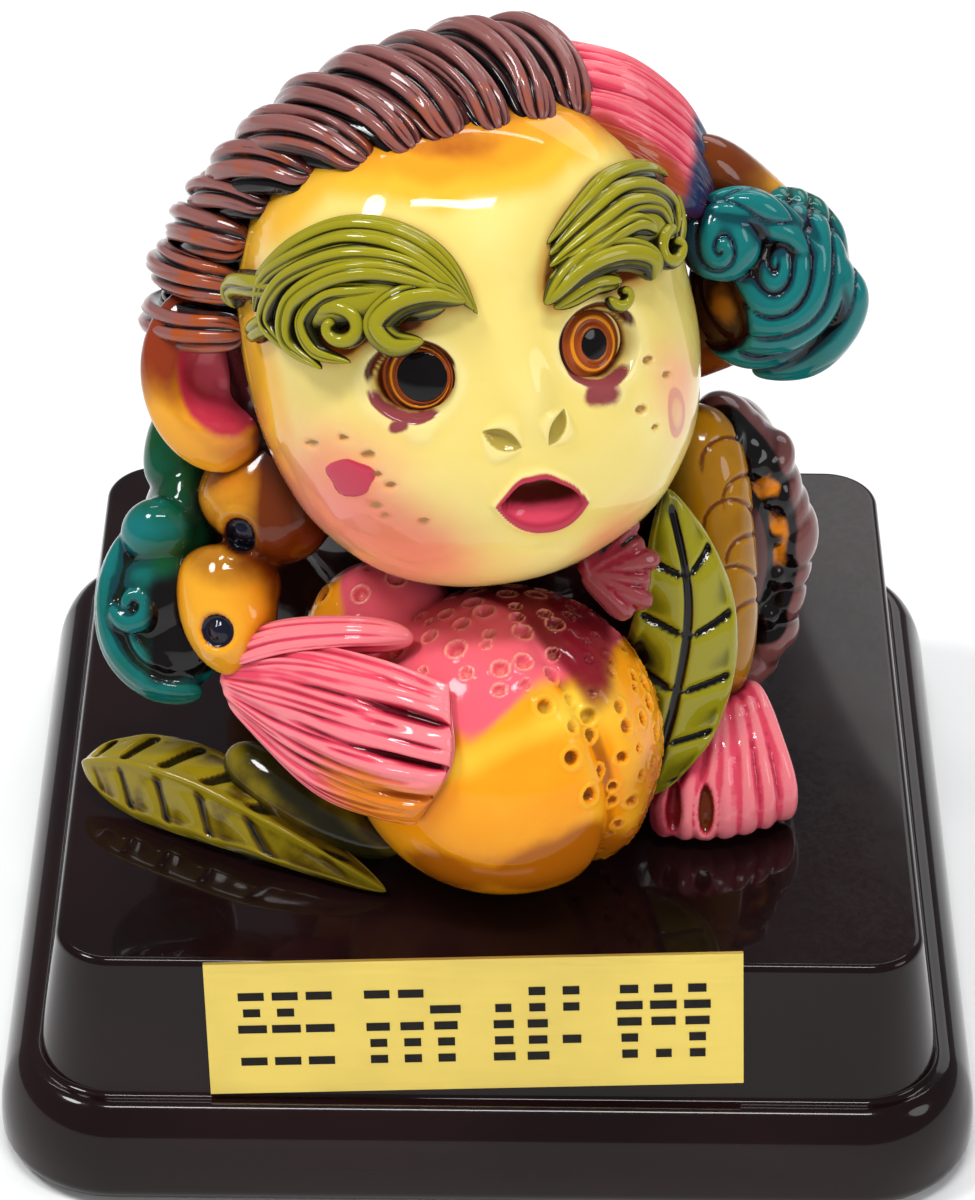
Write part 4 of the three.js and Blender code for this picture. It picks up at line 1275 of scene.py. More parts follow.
def brushed_group():
    """A second glaze brushed over the first, with a ragged edge."""
    tree, enter, leave = group_tree(
        "Brushed glaze",
        [
            ("Under", COLOUR, (0.5, 0.5, 0.5, 1)),
            ("Over", COLOUR, (0.5, 0.5, 0.5, 1)),
            ("Mask", NUMBER, 0.0),
            ("Ragged", NUMBER, 0.3),
            ("Edge", NUMBER, 0.2),
            ("Scale", NUMBER, 220.0),
        ],
        [("Color", COLOUR), ("Cover", NUMBER)],
    )
    place = node(tree, "ShaderNodeTexCoord").outputs["Object"]
    cloud = node(tree, "ShaderNodeTexNoise", {"Vector": place, "Scale": enter.outputs["Scale"], "Detail": 5.0}).outputs["Fac"]
    swing = node(tree, "ShaderNodeMath", {0: cloud, 1: 0.5}, operation="SUBTRACT").outputs[0]
    swing = node(tree, "ShaderNodeMath", {0: swing, 1: enter.outputs["Ragged"]}, operation="MULTIPLY").outputs[0]
    level = node(tree, "ShaderNodeMath", {0: enter.outputs["Mask"], 1: swing}, operation="ADD").outputs[0]
    low = node(tree, "ShaderNodeMath", {0: 0.5, 1: enter.outputs["Edge"]}, operation="SUBTRACT").outputs[0]
    high = node(tree, "ShaderNodeMath", {0: 0.5, 1: enter.outputs["Edge"]}, operation="ADD").outputs[0]
    cover = ramp(tree, level, low, high)
    tree.links.new(blend(tree, cover, enter.outputs["Under"], enter.outputs["Over"]), leave.inputs["Color"])
    tree.links.new(cover, leave.inputs["Cover"])
    return tree


def surface_group():
    """The glaze's slightly uneven surface: roughness that wanders, and a low swell with fine pinholes."""
    tree, enter, leave = group_tree(
        "Glaze surface",
        [("Roughness", NUMBER, 0.12), ("Swell", NUMBER, 1.0), ("Pinholes", NUMBER, 0.3)],
        [("Roughness", NUMBER), ("Height", NUMBER)],
    )
    place = node(tree, "ShaderNodeTexCoord").outputs["Object"]
    swell = node(tree, "ShaderNodeTexNoise", {"Vector": place, "Scale": 210.0, "Detail": 2.0}).outputs["Fac"]
    fine = node(tree, "ShaderNodeTexNoise", {"Vector": place, "Scale": 900.0, "Detail": 3.0}).outputs["Fac"]
    holes = node(tree, "ShaderNodeTexVoronoi", {"Vector": place, "Scale": 620.0}).outputs["Distance"]
    holes = node(tree, "ShaderNodeMath", {0: ramp(tree, holes, 0.1, 0.0), 1: enter.outputs["Pinholes"]}, operation="MULTIPLY")
    lifted = node(tree, "ShaderNodeMath", {0: swell, 1: enter.outputs["Swell"]}, operation="MULTIPLY").outputs[0]
    height = node(tree, "ShaderNodeMath", {0: lifted, 1: holes.outputs[0]}, operation="SUBTRACT").outputs[0]
    spread = node(tree, "ShaderNodeMath", {0: fine, 1: 0.5}, operation="SUBTRACT").outputs[0]
    spread = node(tree, "ShaderNodeMath", {0: spread, 1: 0.16}, operation="MULTIPLY").outputs[0]
    rough = node(tree, "ShaderNodeMath", {0: enter.outputs["Roughness"], 1: spread}, operation="ADD").outputs[0]
    tree.links.new(rough, leave.inputs["Roughness"])
    tree.links.new(height, leave.inputs["Height"])
    return tree


@lru_cache(maxsize=None)
def glaze_groups():
    """The three node groups that all glazes share."""
    return pooled_and_shaded_group(), brushed_group(), surface_group()


def attribute(tree, name):
    """A stored number of the mesh, as a socket."""
    return node(tree, "ShaderNodeAttribute", attribute_name=name, attribute_type="GEOMETRY").outputs["Fac"]


def glaze(name, thin, body, deep, ink, layers=(), rough=0.13, mottle=0.2, scale=260.0, ink_depth=0.88, shade=0.6, coat=0.5):
    """A glossy glaze. Each layer is (attribute, colour, raggedness, edge, noise scale)."""
    pooled_and_shaded, brushed, surface = glaze_groups()
    material = bpy.data.materials.new(name)
    material.use_nodes = True
    tree = material.node_tree
    bsdf = tree.nodes["Principled BSDF"]
    first = node(tree, "ShaderNodeGroup", node_tree=pooled_and_shaded)
    values = {"Thin": rgba(thin), "Body": rgba(body), "Deep": rgba(deep), "Ink": rgba(ink)}
    values |= {"Ink depth": ink_depth, "Mottle": mottle, "Mottle scale": scale}
    for key, value in values.items():
        first.inputs[key].default_value = value
    tree.links.new(attribute(tree, "pool_and_shade"), first.inputs["Pool and shade"])
    made = first.outputs["Color"]
    for mask, over, ragged, edge, size in layers:
        inputs = {"Under": made, "Over": rgba(over), "Mask": attribute(tree, mask), "Ragged": ragged, "Edge": edge, "Scale": size}
        layer = node(tree, "ShaderNodeGroup", node_tree=brushed)
        for key, value in inputs.items():
            if isinstance(value, bpy.types.NodeSocket):
                tree.links.new(value, layer.inputs[key])
            else:
                layer.inputs[key].default_value = value
        made = layer.outputs["Color"]
    if shade:
        dark = node(tree, "ShaderNodeMath", {0: attribute(tree, "shade"), 1: shade}, operation="MULTIPLY").outputs[0]
        made = blend(tree, dark, made, rgba(ink))
    relief = node(tree, "ShaderNodeGroup", node_tree=surface)
    relief.inputs["Roughness"].default_value = rough
    bump_node = node(
        tree, "ShaderNodeBump", {"Height": relief.outputs["Height"], "Strength": 0.22, "Distance": 0.0006}
    )
    tree.links.new(made, bsdf.inputs["Base Color"])
    tree.links.new(relief.outputs["Roughness"], bsdf.inputs["Roughness"])
    tree.links.new(bump_node.outputs["Normal"], bsdf.inputs["Normal"])
    bsdf.inputs["IOR"].default_value = 1.5
    bsdf.inputs["Specular IOR Level"].default_value = 0.08
    bsdf.inputs["Coat Weight"].default_value = coat
    bsdf.inputs["Coat Roughness"].default_value = 0.035
    return material


def mixed(first, second, share):
    """A colour between two, as numbers."""
    return tuple(a * (1 - share) + b * share for a, b in zip(first, second))


# The pieces of the figure


def make_face(context):
    """The face and its painted and carved marks."""
    sizes, tint = context.scene.figurine_sizes, context.scene.figurine_glazes
    grain = sizes.grain / MM
    skin = glaze(
        "Face glaze",
        tint.cream_pale,
        tint.cream,
        mixed(tint.cream, tint.amber, 0.55),
        mixed(tint.amber_deep, tint.ink, 0.4),
        [
            ("amber", mixed(tint.amber, tint.yellow, 0.65), 0.5, 0.42, 60.0),
            ("amber_full", mixed(tint.amber, tint.yellow, 0.2), 1.1, 0.35, 95.0),
            ("temple", tint.rust, 1.0, 0.35, 130.0),
            ("grey", mixed(tint.cream, tint.olive_pale, 0.35), 0.8, 0.4, 90.0),
            ("blush", tint.blush, 0.45, 0.42, 120.0),
            ("rouge", tint.pink_pale, 0.3, 0.4, 150.0),
            ("smear", mixed(tint.crimson, tint.maroon_pale, 0.55), 0.8, 0.18, 420.0),
            ("spot", mixed(tint.crimson, tint.pink, 0.5), 0.1, 0.12, 500.0),
            ("mauve", mixed(mixed(tint.pink_pale, tint.maroon_pale, 0.4), tint.cream, 0.25), 0.3, 0.2, 400.0),
            ("freckle", mixed(tint.amber_deep, tint.cream, 0.35), 0.2, 0.3, 400.0),
            ("lip", mixed(tint.crimson, tint.pink, 0.4), 0.4, 0.3, 500.0),
            ("tongue", tint.pink, 0.2, 0.35, 300.0),
            ("throat", mixed(tint.crimson, tint.ink, 0.8), 0.12, 0.35, 300.0),
            ("nostril", mixed(mixed(tint.olive_pale, tint.cream, 0.35), tint.amber_deep, 0.25), 0.2, 0.3, 400.0),
            ("socket", mixed(tint.amber_deep, tint.ink, 0.7), 0.4, 0.25, 500.0),
        ],
        rough=0.12,
        mottle=0.35,
        scale=75.0,
        shade=0.45,
        coat=0.45,
    )

    def marks(points, mesh):
        place = face_place(points)
        x, z = place[:, 0], place[:, 2]
        front = place[:, 1] < 4
        edge = np.interp(
            x, [-25, -22, -14.4, -7.3, -3.9, 2.5, 7.5, 11.6, 17, 22], [8.0, 17.0, 21.0, 21.0, 18.8, 17.8, 18.8, 20.0, 18.6, 14.0]
        )
        wavy = edge + 0.7 * np.sin(0.4 * x + 1.0)
        amber = smooth(z - wavy, -2.6, 1.8)
        amber = np.maximum(amber, smooth(-x, 22.4, 25.0) * smooth(z, -30, -14))
        amber = np.maximum(amber, np.where(front, 0, 1))
        store(mesh, "amber", amber)
        store(mesh, "amber_full", 0.85 * smooth(z - wavy, 0.2, 4.0) + np.where(front, 0, 0.5))
        store(mesh, "temple", smooth(x, 13, 20) * smooth(z, 15, 21) * 0.75 + 0.4 * smooth(z - edge, 3.6, 5.6))
        store(mesh, "grey", 0.75 * smooth(x, 12, 22) * smooth(z, -16, 2) + 0.4 * bump(np.hypot(x - 6, z - 15), 5))
        blush = 0.85 * bump(np.hypot(x + 20, (z + 11) * 0.8), 7.5) + 0.7 * bump(np.hypot(x + 12, z + 20), 7)
        store(mesh, "blush", blush + 0.6 * bump(np.hypot(x - 9, z + 24), 6))
        store(mesh, "rouge", 0.5 * bump(np.hypot(x - 18.5, (z + 8) * 0.7), 5.2) + 0.4 * bump(np.hypot(x + 21, z + 14), 5))
        store(mesh, "spot", smooth(spot_inset(x, z), -0.35, 0.35))
        oval = np.hypot((x - 17.4) / 1.5, (z + 10.2) / 3.2)
        store(mesh, "mauve", smooth(1.0 - oval, -0.2, 0.2) * (0.45 + 0.4 * bump(oval - 0.85, 0.25)))
        store(mesh, "freckle", 0.8 * freckle_share(x, z))
        inset, share = mouth_inset(x, z)
        store(mesh, "lip", smooth(inset, -1.15, -0.55))
        store(mesh, "tongue", smooth(inset, -0.3, 0.7) * (1 - smooth(share, 0.2, 0.4)))
        # dark crimson, darkened almost to ink as painted shade where the mouth is deepest, under the upper lip
        store(mesh, "throat", smooth(inset, -0.1, 0.7) * smooth(share, 0.18, 0.36))
        nostril = np.zeros(len(x))
        for start, end, width in NOSTRILS:
            nostril = np.maximum(nostril, slit(x, z, start, end, width))
        store(mesh, "nostril", smooth(nostril, 0.0, 0.3) * 0.9)
        socket, smear = np.zeros(len(x)), np.zeros(len(x))
        for side, (ex, ez) in EYES.items():
            far = np.hypot((x - ex) * 0.94, z - ez)
            lid = bump(far - 4.4, 0.35) * smooth(z - ez, -1.0, 2.0)
            socket = np.maximum(socket, np.maximum(1 - smooth(far, 3.6, 4.4), lid))
            angle = np.degrees(np.arctan2(z - ez, x - ex))
            low = -120 if side == "left" else -105
            around_low = np.abs((angle - low + 180) % 360 - 180)
            rim = bump(far - 4.4, 0.45) * (1 - smooth(around_low, 35, 75))
            dx, dz, wide = (2.2, 4.8, 0.8) if side == "left" else (1.4, 5.3, 1.5)
            blot = bump(np.hypot((x - ex + dx) / 1.5, z - ez + dz), wide)
            smear = np.maximum(smear, np.maximum(rim, blot))
        store(mesh, "socket", socket)
        store(mesh, "smear", smear)
        return points

    laid(context, "face", shells_of(context)["face"], grain, skin, marks)


def make_eyes(context):
    """The eyes: domed discs with carved rings round a dark pupil."""
    tint = context.scene.figurine_glazes
    eye = glaze(
        "Eye glaze",
        tint.rust,
        mixed(tint.amber_deep, tint.rust, 0.5),
        mixed(tint.amber_deep, tint.ink, 0.5),
        tint.ink,
        [
            ("ring", tint.amber, 0.45, 0.25, 500.0),
            ("dark", mixed(tint.maroon, tint.ink, 0.7), 0.4, 0.25, 500.0),
            ("white", mixed(tint.cream_pale, tint.amber, 0.15), 0.3, 0.25, 500.0),
            ("pupil", tint.ink, 0.05, 0.1, 300.0),
        ],
        rough=0.05,
        mottle=0.4,
        shade=0.0,
        coat=0.35,
    )
    shells, marks = [], {"ring": [], "pupil": [], "dark": [], "white": []}
    for side, (x, z) in EYES.items():
        pupil, off, coils = (2.75, (-0.75, -0.25), 2.5) if side == "left" else (1.7, (0.1, 0.0), 2.0)
        centre = on_face(x, z, -2.5)
        facing = unit(on_face(x, z, 3.0) - centre)
        aside = unit(np.cross((0, 0, -1), facing))
        rise = np.cross(aside, facing) * -1
        radius = np.concatenate([np.linspace(0, 4.4, 66), [4.5, 3.0, 0.0]])
        turn = np.linspace(0, 2 * np.pi, 90, endpoint=False)
        across = radius[:, None] * np.cos(turn)[None, :]
        upward = radius[:, None] * np.sin(turn)[None, :]
        inner = np.hypot(across - off[0], upward - off[1]) - pupil
        place = inner / np.maximum(inner + 4.15 - radius[:, None], 0.15)
        wobble = 0.05 * np.sin(2 * turn + 1)[None, :]
        coil = np.cos(2 * np.pi * coils * (place + wobble))
        height = 1.3 - 0.06 * radius[:, None] ** 2 + np.where(inner > 0, 0.13 * coil * smooth(inner, 0, 0.3), 0.1)
        height[-3:] = np.array([-1.2, -1.6, -1.8])[:, None]
        rows = centre + across[..., None] * aside + upward[..., None] * rise + height[..., None] * facing
        shells.append(closed_net(rows))
        found = {
            "ring": smooth(coil, 0.0, 0.8) * smooth(inner, 0.1, 0.4) * (1 - smooth(place, 0.45, 0.7)),
            "pupil": 1 - smooth(inner, -0.1, 0.15),
            "dark": smooth(place, 0.82, 0.98),
            "white": smooth(radius[:, None] - 3.2 + 0 * across, 0.2, 0.9) * smooth(-across, 1.0, 3.2) * (side == "right"),
        }
        for key, value in found.items():
            value = value + 0 * across
            marks[key].append(np.concatenate([value[:1, 0], value[1:-1].reshape(-1), value[-1:, 0]]))
    mesh = raw_mesh("eyes", shells)
    for key, values in marks.items():
        store(mesh, key, np.concatenate(values))
    outward(mesh)
    finish_piece(context, "eyes", mesh, coordinates(mesh), eye, "monkey_figure", 0.2)


def outward(mesh):
    """Turns a closed mesh's faces outwards."""
    work = bmesh.new()
    work.from_mesh(mesh)
    bmesh.ops.recalc_face_normals(work, faces=work.faces)
    work.to_mesh(mesh)
    work.free()


def make_brows(context):
    """The eyebrows."""
    tint = context.scene.figurine_glazes
    green = glaze(
        "Eyebrow glaze",
        tint.olive_pale,
        mixed(tint.olive, tint.olive_pale, 0.25),
        mixed(tint.olive, tint.ink, 0.65),
        tint.ink,
        [("gap", mixed(tint.olive, tint.ink, 0.85), 0.3, 0.3, 300.0)],
        rough=0.12,
        mottle=0.4,
        scale=200.0,
        ink_depth=0.8,
        shade=0.5,
    )
    shells = shells_of(context)["brows"]

    def gaps(points, mesh):
        # painted shade: each strand's flanks and underside are darkened, down in the gaps between strands
        store(mesh, "gap", 1 - smooth(crests(shells, BROW_AROUND), 0.3, 0.96))
        return points

    laid(context, "eyebrows", shells, 0.26, green, gaps)


def make_hair(context):
    """The locks along the hairline and the plainer ones behind."""
    sizes, tint = context.scene.figurine_sizes, context.scene.figurine_glazes
    brown = glaze(
        "Hair glaze",
        tint.maroon_pale,
        tint.maroon,
        mixed(tint.maroon, tint.ink, 0.72),
        tint.ink,
        [("rust", tint.rust, 1.2, 0.3, 420.0), ("gap", tint.ink, 0.3, 0.3, 300.0)],
        rough=0.15,
        mottle=0.45,
        scale=420.0,
        ink_depth=0.76,
        shade=0.5,
    )
    locks = shells_of(context)["hair"]

    def rust(points, mesh):
        own = unit((points - HEAD_CENTRE) @ HEAD_TURN)
        polar = np.degrees(np.arccos(np.clip(-own[:, 1], -1, 1)))
        turn = np.degrees(np.arctan2(-own[:, 0], own[:, 2]))
        behind = polar - hairline(turn)
        ridge = smooth(((relaxed(points, edge_ends(mesh), (0.6,), 12) - points) * normals(mesh)).sum(1), 0.02, -0.08)
        store(mesh, "rust", (1 - smooth(behind, 0, 11)) * (0.15 + 0.4 * ridge) * (0.6 + 0.5 * smooth(turn, 45, 70)))
        return points

    def locked(points, mesh):
        # painted shade: each lock's flanks and underside are darkened, down in the gaps between locks
        store(mesh, "gap", 1 - smooth(crests(locks, LOCK_AROUND), 0.1, 0.7))
        return rust(points, mesh)

    def plain(points, mesh):
        store(mesh, "gap", np.zeros(len(points)))
        return rust(points, mesh)

    laid(context, "hair", locks, sizes.grain / MM, brown, locked)
    cast(context, "back_hair", shells_of(context)["back_hair"], sizes.broad_grain / MM, brown, plain)


def make_ear(context):
    """The ear."""
    sizes, tint = context.scene.figurine_sizes, context.scene.figurine_glazes
    material = glaze(
        "Ear glaze",
        mixed(tint.amber, tint.yellow, 0.3),
        tint.amber,
        tint.amber_deep,
        tint.ink,
        [
            ("darker_top_and_rim", mixed(tint.amber_deep, tint.crimson, 0.25), 0.9, 0.4, 120.0),
            ("bowl", mixed(tint.crimson, tint.pink, 0.5), 0.5, 0.25, 260.0),
            ("pink", mixed(tint.pink, tint.pink_pale, 0.3), 0.5, 0.3, 260.0),
        ],
        shade=0.4,
    )

    def bowl(points, mesh):
        own = ((points - np.array([-31.9, -9.4, 53])) @ rotation(-24, -12, 16)) / np.array([8.7, 4.2, 11.1])
        far = np.hypot(own[:, 0] / 0.7, (own[:, 2] - 0.04) / 0.8)
        inside = (1 - smooth(far, 0.55, 1.05)) * (own[:, 1] < 0.35)
        store(mesh, "bowl", inside)
        store(mesh, "pink", inside * (0.3 + 0.7 * bump(np.hypot(own[:, 0] - 0.1, own[:, 2] - 0.4), 0.35)))
        # darker amber over the ear's upper half and round the bowl's edge
        store(mesh, "darker_top_and_rim", 0.8 * smooth(own[:, 2], -0.5, 0.5) + 0.35 * bump(far - 1.0, 0.2))
        return points

    cast(context, "ear", shells_of(context)["ear"], sizes.grain / MM, material, bowl)


PINK_AXIS = np.array([-0.449, 0.393, 0.803])


def geometry_tree(name, inputs):
    """A new geometry node tree with a geometry input and output and named inputs."""
    tree = bpy.data.node_groups.new(name, "GeometryNodeTree")
    tree.interface.new_socket("Geometry", in_out="INPUT", socket_type="NodeSocketGeometry")
    identifiers = {}
    for label, kind in inputs:
        identifiers[label] = tree.interface.new_socket(label, in_out="INPUT", socket_type=kind).identifier
    tree.interface.new_socket("Geometry", in_out="OUTPUT", socket_type="NodeSocketGeometry")
    return tree, tree.nodes.new("NodeGroupInput"), tree.nodes.new("NodeGroupOutput"), identifiers


def grown(name, mesh, tree, identifiers, values):
    """The mesh that a geometry node tree makes from `mesh` with these values."""
    source = bpy.data.objects.new(name + "_seed", mesh)
    bpy.context.scene.collection.objects.link(source)
    modifier = source.modifiers.new(name, "NODES")
    modifier.node_group = tree
    for label, value in values.items():
        modifier[identifiers[label]] = value
    result = bpy.data.meshes.new_from_object(source.evaluated_get(bpy.context.evaluated_depsgraph_get()))
    source.modifiers.remove(modifier)
    bpy.data.objects.remove(source)
    result.name = name
    return result


def maths(tree, operation, *values):
    """One step of arithmetic in a node tree."""
    return node(tree, "ShaderNodeMath", dict(enumerate(values)), operation=operation).outputs[0]


def vectors(tree, operation, *values):
    """One step of vector arithmetic in a node tree."""
    made = node(tree, "ShaderNodeVectorMath", dict(enumerate(values)), operation=operation)
    return made.outputs["Value" if operation in ("LENGTH", "DOT_PRODUCT", "DISTANCE") else "Vector"]


def dimple_tree():
    """Dimples with raised rims, spread in a spiral over an orb's cap, which leans back and aside."""
    tree, enter, leave, names = geometry_tree(
        "Peach dimples",
        [
            ("Count", "NodeSocketInt"),
            ("Radius", NUMBER),
            ("Depth", NUMBER),
            ("Centre", "NodeSocketVector"),
            ("Half sizes", "NodeSocketVector"),
            ("Lowest", NUMBER),
            ("Seed", "NodeSocketInt"),
            ("Material", "NodeSocketMaterial"),
        ],
    )
    source = enter.outputs["Geometry"]
    dots = node(tree, "GeometryNodePoints", {"Count": enter.outputs["Count"]}).outputs[0]
    index = node(tree, "GeometryNodeInputIndex").outputs[0]
    share = maths(tree, "DIVIDE", maths(tree, "ADD", index, 0.5), enter.outputs["Count"])
    height = maths(tree, "SUBTRACT", 1.0, maths(tree, "MULTIPLY", share, maths(tree, "SUBTRACT", 1.0, enter.outputs["Lowest"])))
    flat = maths(tree, "SQRT", maths(tree, "SUBTRACT", 1.0, maths(tree, "MULTIPLY", height, height)))
    jitter = node(tree, "FunctionNodeRandomValue", {"Seed": enter.outputs["Seed"]}, data_type="FLOAT_VECTOR")
    jitter.inputs[0].default_value = (-0.055, -0.055, -0.055)
    jitter.inputs[1].default_value = (0.055, 0.055, 0.055)
    turn = maths(tree, "MULTIPLY", index, math.pi * (3 - math.sqrt(5)))
    around = node(
        tree,
        "ShaderNodeCombineXYZ",
        {
            0: maths(tree, "MULTIPLY", flat, maths(tree, "COSINE", turn)),
            1: maths(tree, "MULTIPLY", flat, maths(tree, "SINE", turn)),
            2: height,
        },
    ).outputs[0]
    tilt = node(tree, "ShaderNodeVectorRotate", {"Vector": around, "Axis": (0, 1, 0), "Angle": math.radians(72.6)}).outputs[0]
    tilt = node(tree, "ShaderNodeVectorRotate", {"Vector": tilt, "Axis": (0, 0, 1), "Angle": math.radians(51.3)}).outputs[0]
    aim = vectors(tree, "NORMALIZE", vectors(tree, "ADD", tilt, jitter.outputs[0]))
    ray = vectors(tree, "MULTIPLY", aim, enter.outputs["Half sizes"])
    inputs = {"Target Geometry": source, "Source Position": enter.outputs["Centre"], "Ray Direction": ray, "Ray Length": 60.0}
    on_skin = node(tree, "GeometryNodeRaycast", inputs).outputs["Hit Position"]
    dots = node(tree, "GeometryNodeSetPosition", {"Geometry": dots, "Position": on_skin}).outputs[0]
    near = node(tree, "GeometryNodeProximity", {0: dots}, target_element="POINTS")
    nearest = node(tree, "GeometryNodeSampleNearest", {0: dots}, domain="POINT").outputs[0]
    vary = node(tree, "FunctionNodeRandomValue", {"ID": nearest, "Seed": maths(tree, "ADD", enter.outputs["Seed"], 3)})
    vary.inputs[2].default_value = 0.65
    vary.inputs[3].default_value = 1.25
    radius = maths(tree, "MULTIPLY", vary.outputs[1], enter.outputs["Radius"])
    ratio = maths(tree, "DIVIDE", near.outputs["Distance"], radius)
    inner = node(tree, "ShaderNodeMapRange", {0: ratio, 1: 0.45, 2: 1.0, 3: 1.0, 4: 0.0}, interpolation_type="SMOOTHSTEP").outputs[0]
    from_rim = maths(tree, "DIVIDE", maths(tree, "SUBTRACT", ratio, 1.16), 0.22)
    rim = maths(tree, "EXPONENT", maths(tree, "MULTIPLY", maths(tree, "MULTIPLY", from_rim, from_rim), -1.0))
    sink = maths(tree, "MULTIPLY", inner, maths(tree, "MULTIPLY", radius, enter.outputs["Depth"]))
    swell = maths(tree, "MULTIPLY", rim, maths(tree, "MULTIPLY", radius, maths(tree, "MULTIPLY", enter.outputs["Depth"], 0.22)))
    push = maths(tree, "SUBTRACT", swell, sink)
    normal = node(tree, "GeometryNodeInputNormal").outputs[0]
    offset = node(tree, "ShaderNodeVectorMath", {0: normal, "Scale": push}, operation="SCALE").outputs[0]
    moved = node(tree, "GeometryNodeSetPosition", {"Geometry": source, "Offset": offset}).outputs[0]
    marked = node(tree, "GeometryNodeStoreNamedAttribute", {"Geometry": moved, "Name": "pit", "Value": inner}, domain="POINT")
    marked = node(tree, "GeometryNodeStoreNamedAttribute", {"Geometry": marked.outputs[0], "Name": "rim", "Value": rim}, domain="POINT")
    real = node(tree, "GeometryNodeRealizeInstances", {"Geometry": marked.outputs[0]}).outputs[0]
    done = node(tree, "GeometryNodeSetMaterial", {"Geometry": real, "Material": enter.outputs["Material"]}).outputs[0]
    tree.links.new(done, leave.inputs[0])
    return tree, names


def make_peach(context):
    """The peach, its dimples and its two colours."""
    sizes, tint = context.scene.figurine_sizes, context.scene.figurine_glazes
    skin = glaze(
        "Peach glaze",
        mixed(tint.orange, tint.yellow, 0.4),
        tint.orange,
        mixed(tint.orange, tint.amber_deep, 0.7),
        tint.ink,
        [
            ("yolk", tint.yellow, 0.8, 0.35, 70.0),
            ("brown", mixed(tint.amber_deep, tint.orange, 0.25), 1.0, 0.3, 110.0),
            ("pink", mixed(tint.pink, tint.pink_pale, 0.35), 0.8, 0.28, 130.0),
            ("plum", mixed(tint.crimson, tint.maroon, 0.4), 0.5, 0.35, 200.0),
            ("rimlight", mixed(tint.pink_pale, tint.cream_pale, 0.3), 0.2, 0.35, 400.0),
            ("pit", mixed(tint.amber_deep, tint.crimson, 0.4), 0.25, 0.3, 500.0),
            ("seed", mixed(tint.amber, tint.olive_pale, 0.5), 0.5, 0.25, 500.0),
        ],
        rough=0.1,
        mottle=0.3,
        scale=90.0,
        shade=0.15,
        ink_depth=1.1,
        coat=0.22,
    )
    mesh = fused("peach_smooth", shells_of(context)["peach"], 0.34)
    place_coordinates(mesh, relaxed(coordinates(mesh), edge_ends(mesh), (0.55, -0.5), 8))
    tree, names = dimple_tree()
    values = {
        "Count": sizes.dimple_count,
        "Radius": sizes.dimple_radius / MM,
        "Depth": sizes.dimple_depth,
        "Centre": Vector(PEACH_CENTRE),
        "Half sizes": Vector(PEACH_HALF),
        "Lowest": -0.24,
        "Seed": 11,
        "Material": skin,
    }
    mesh = grown("peach", mesh, tree, names, values)
    points = coordinates(mesh)
    own = unit((points - PEACH_CENTRE) / PEACH_HALF)
    pit = np.empty(len(points), np.float32)
    mesh.attributes["pit"].data.foreach_get("value", pit)
    rim = np.empty(len(points), np.float32)
    mesh.attributes["rim"].data.foreach_get("value", rim)
    wave = 0.05 * np.sin(9 * own[:, 0] + 2) + 0.04 * np.sin(14 * own[:, 0] - 6 * own[:, 1])
    pink = smooth(own @ PINK_AXIS + wave, 0.22, 0.46) * smooth(points[:, 0] + 0.2 * (points[:, 2] - 27), -18.4, -15.4)
    store(mesh, "pink", pink)
    spread = lambda aim, width: bump(np.linalg.norm(own - np.array(aim), axis=1), width)
    plum = smooth(beyond_cleft(own), -0.02, 0.1) * smooth(own[:, 2], 0.5, 0.78) * (1 - smooth(own[:, 0], 0.6, 0.78))
    store(mesh, "plum", 0.8 * plum)
    border = bump(own @ PINK_AXIS - 0.16, 0.13) * (1 - smooth(own[:, 0], 0.4, 0.7))
    store(mesh, "yolk", 0.5 * smooth(-own[:, 2], 0.5, 0.9) + 0.6 * border + 0.5 * spread((0.6, -0.45, 0.66), 0.25))
    low = spread((-0.38, -0.81, -0.44), 0.26) + spread((0.21, -0.91, -0.36), 0.28) + spread((0.5, -0.84, -0.2), 0.2)
    far_side = 0.6 * smooth(own[:, 0], 0.62, 0.92) * smooth(-own[:, 2], -0.6, 0.1)
    store(mesh, "brown", 1.3 * low + far_side + 0.6 * smooth(own[:, 0], 0.3, 0.6) * smooth(-own[:, 2], 0.1, 0.5))
    store(mesh, "rimlight", rim * (0.1 + 0.62 * pink) * (1 - 0.5 * smooth(own[:, 0], 0.2, 0.5)))
    store(mesh, "seed", smooth(pit, 0.8, 1.0) * (0.15 + 0.55 * pink))
    finish_piece(context, "peach", mesh, level_cut(points), skin, "monkey_figure", 0.35)


def dent(points, centre, radius, depth, axis, rim=0.25):
    """Sinks a round pit with a low rim into whatever lies within reach of `centre`."""
    axis = unit(np.asarray(axis, float))
    off = points - np.asarray(centre, float)
    out = off @ axis
    far = np.linalg.norm(off - out[:, None] * axis, axis=1) / radius
    near = np.abs(out) < 2.4 * radius
    push = -depth * (1 - smooth(far, 0.6, 1.0)) + rim * bump(far - 1.15, 0.2) + 0.8 * depth * bump(far, 0.5)
    return points + (near * push)[:, None] * axis, near * (1 - smooth(far, 0.62, 0.98)), near * bump(far - 1.2, 0.28)


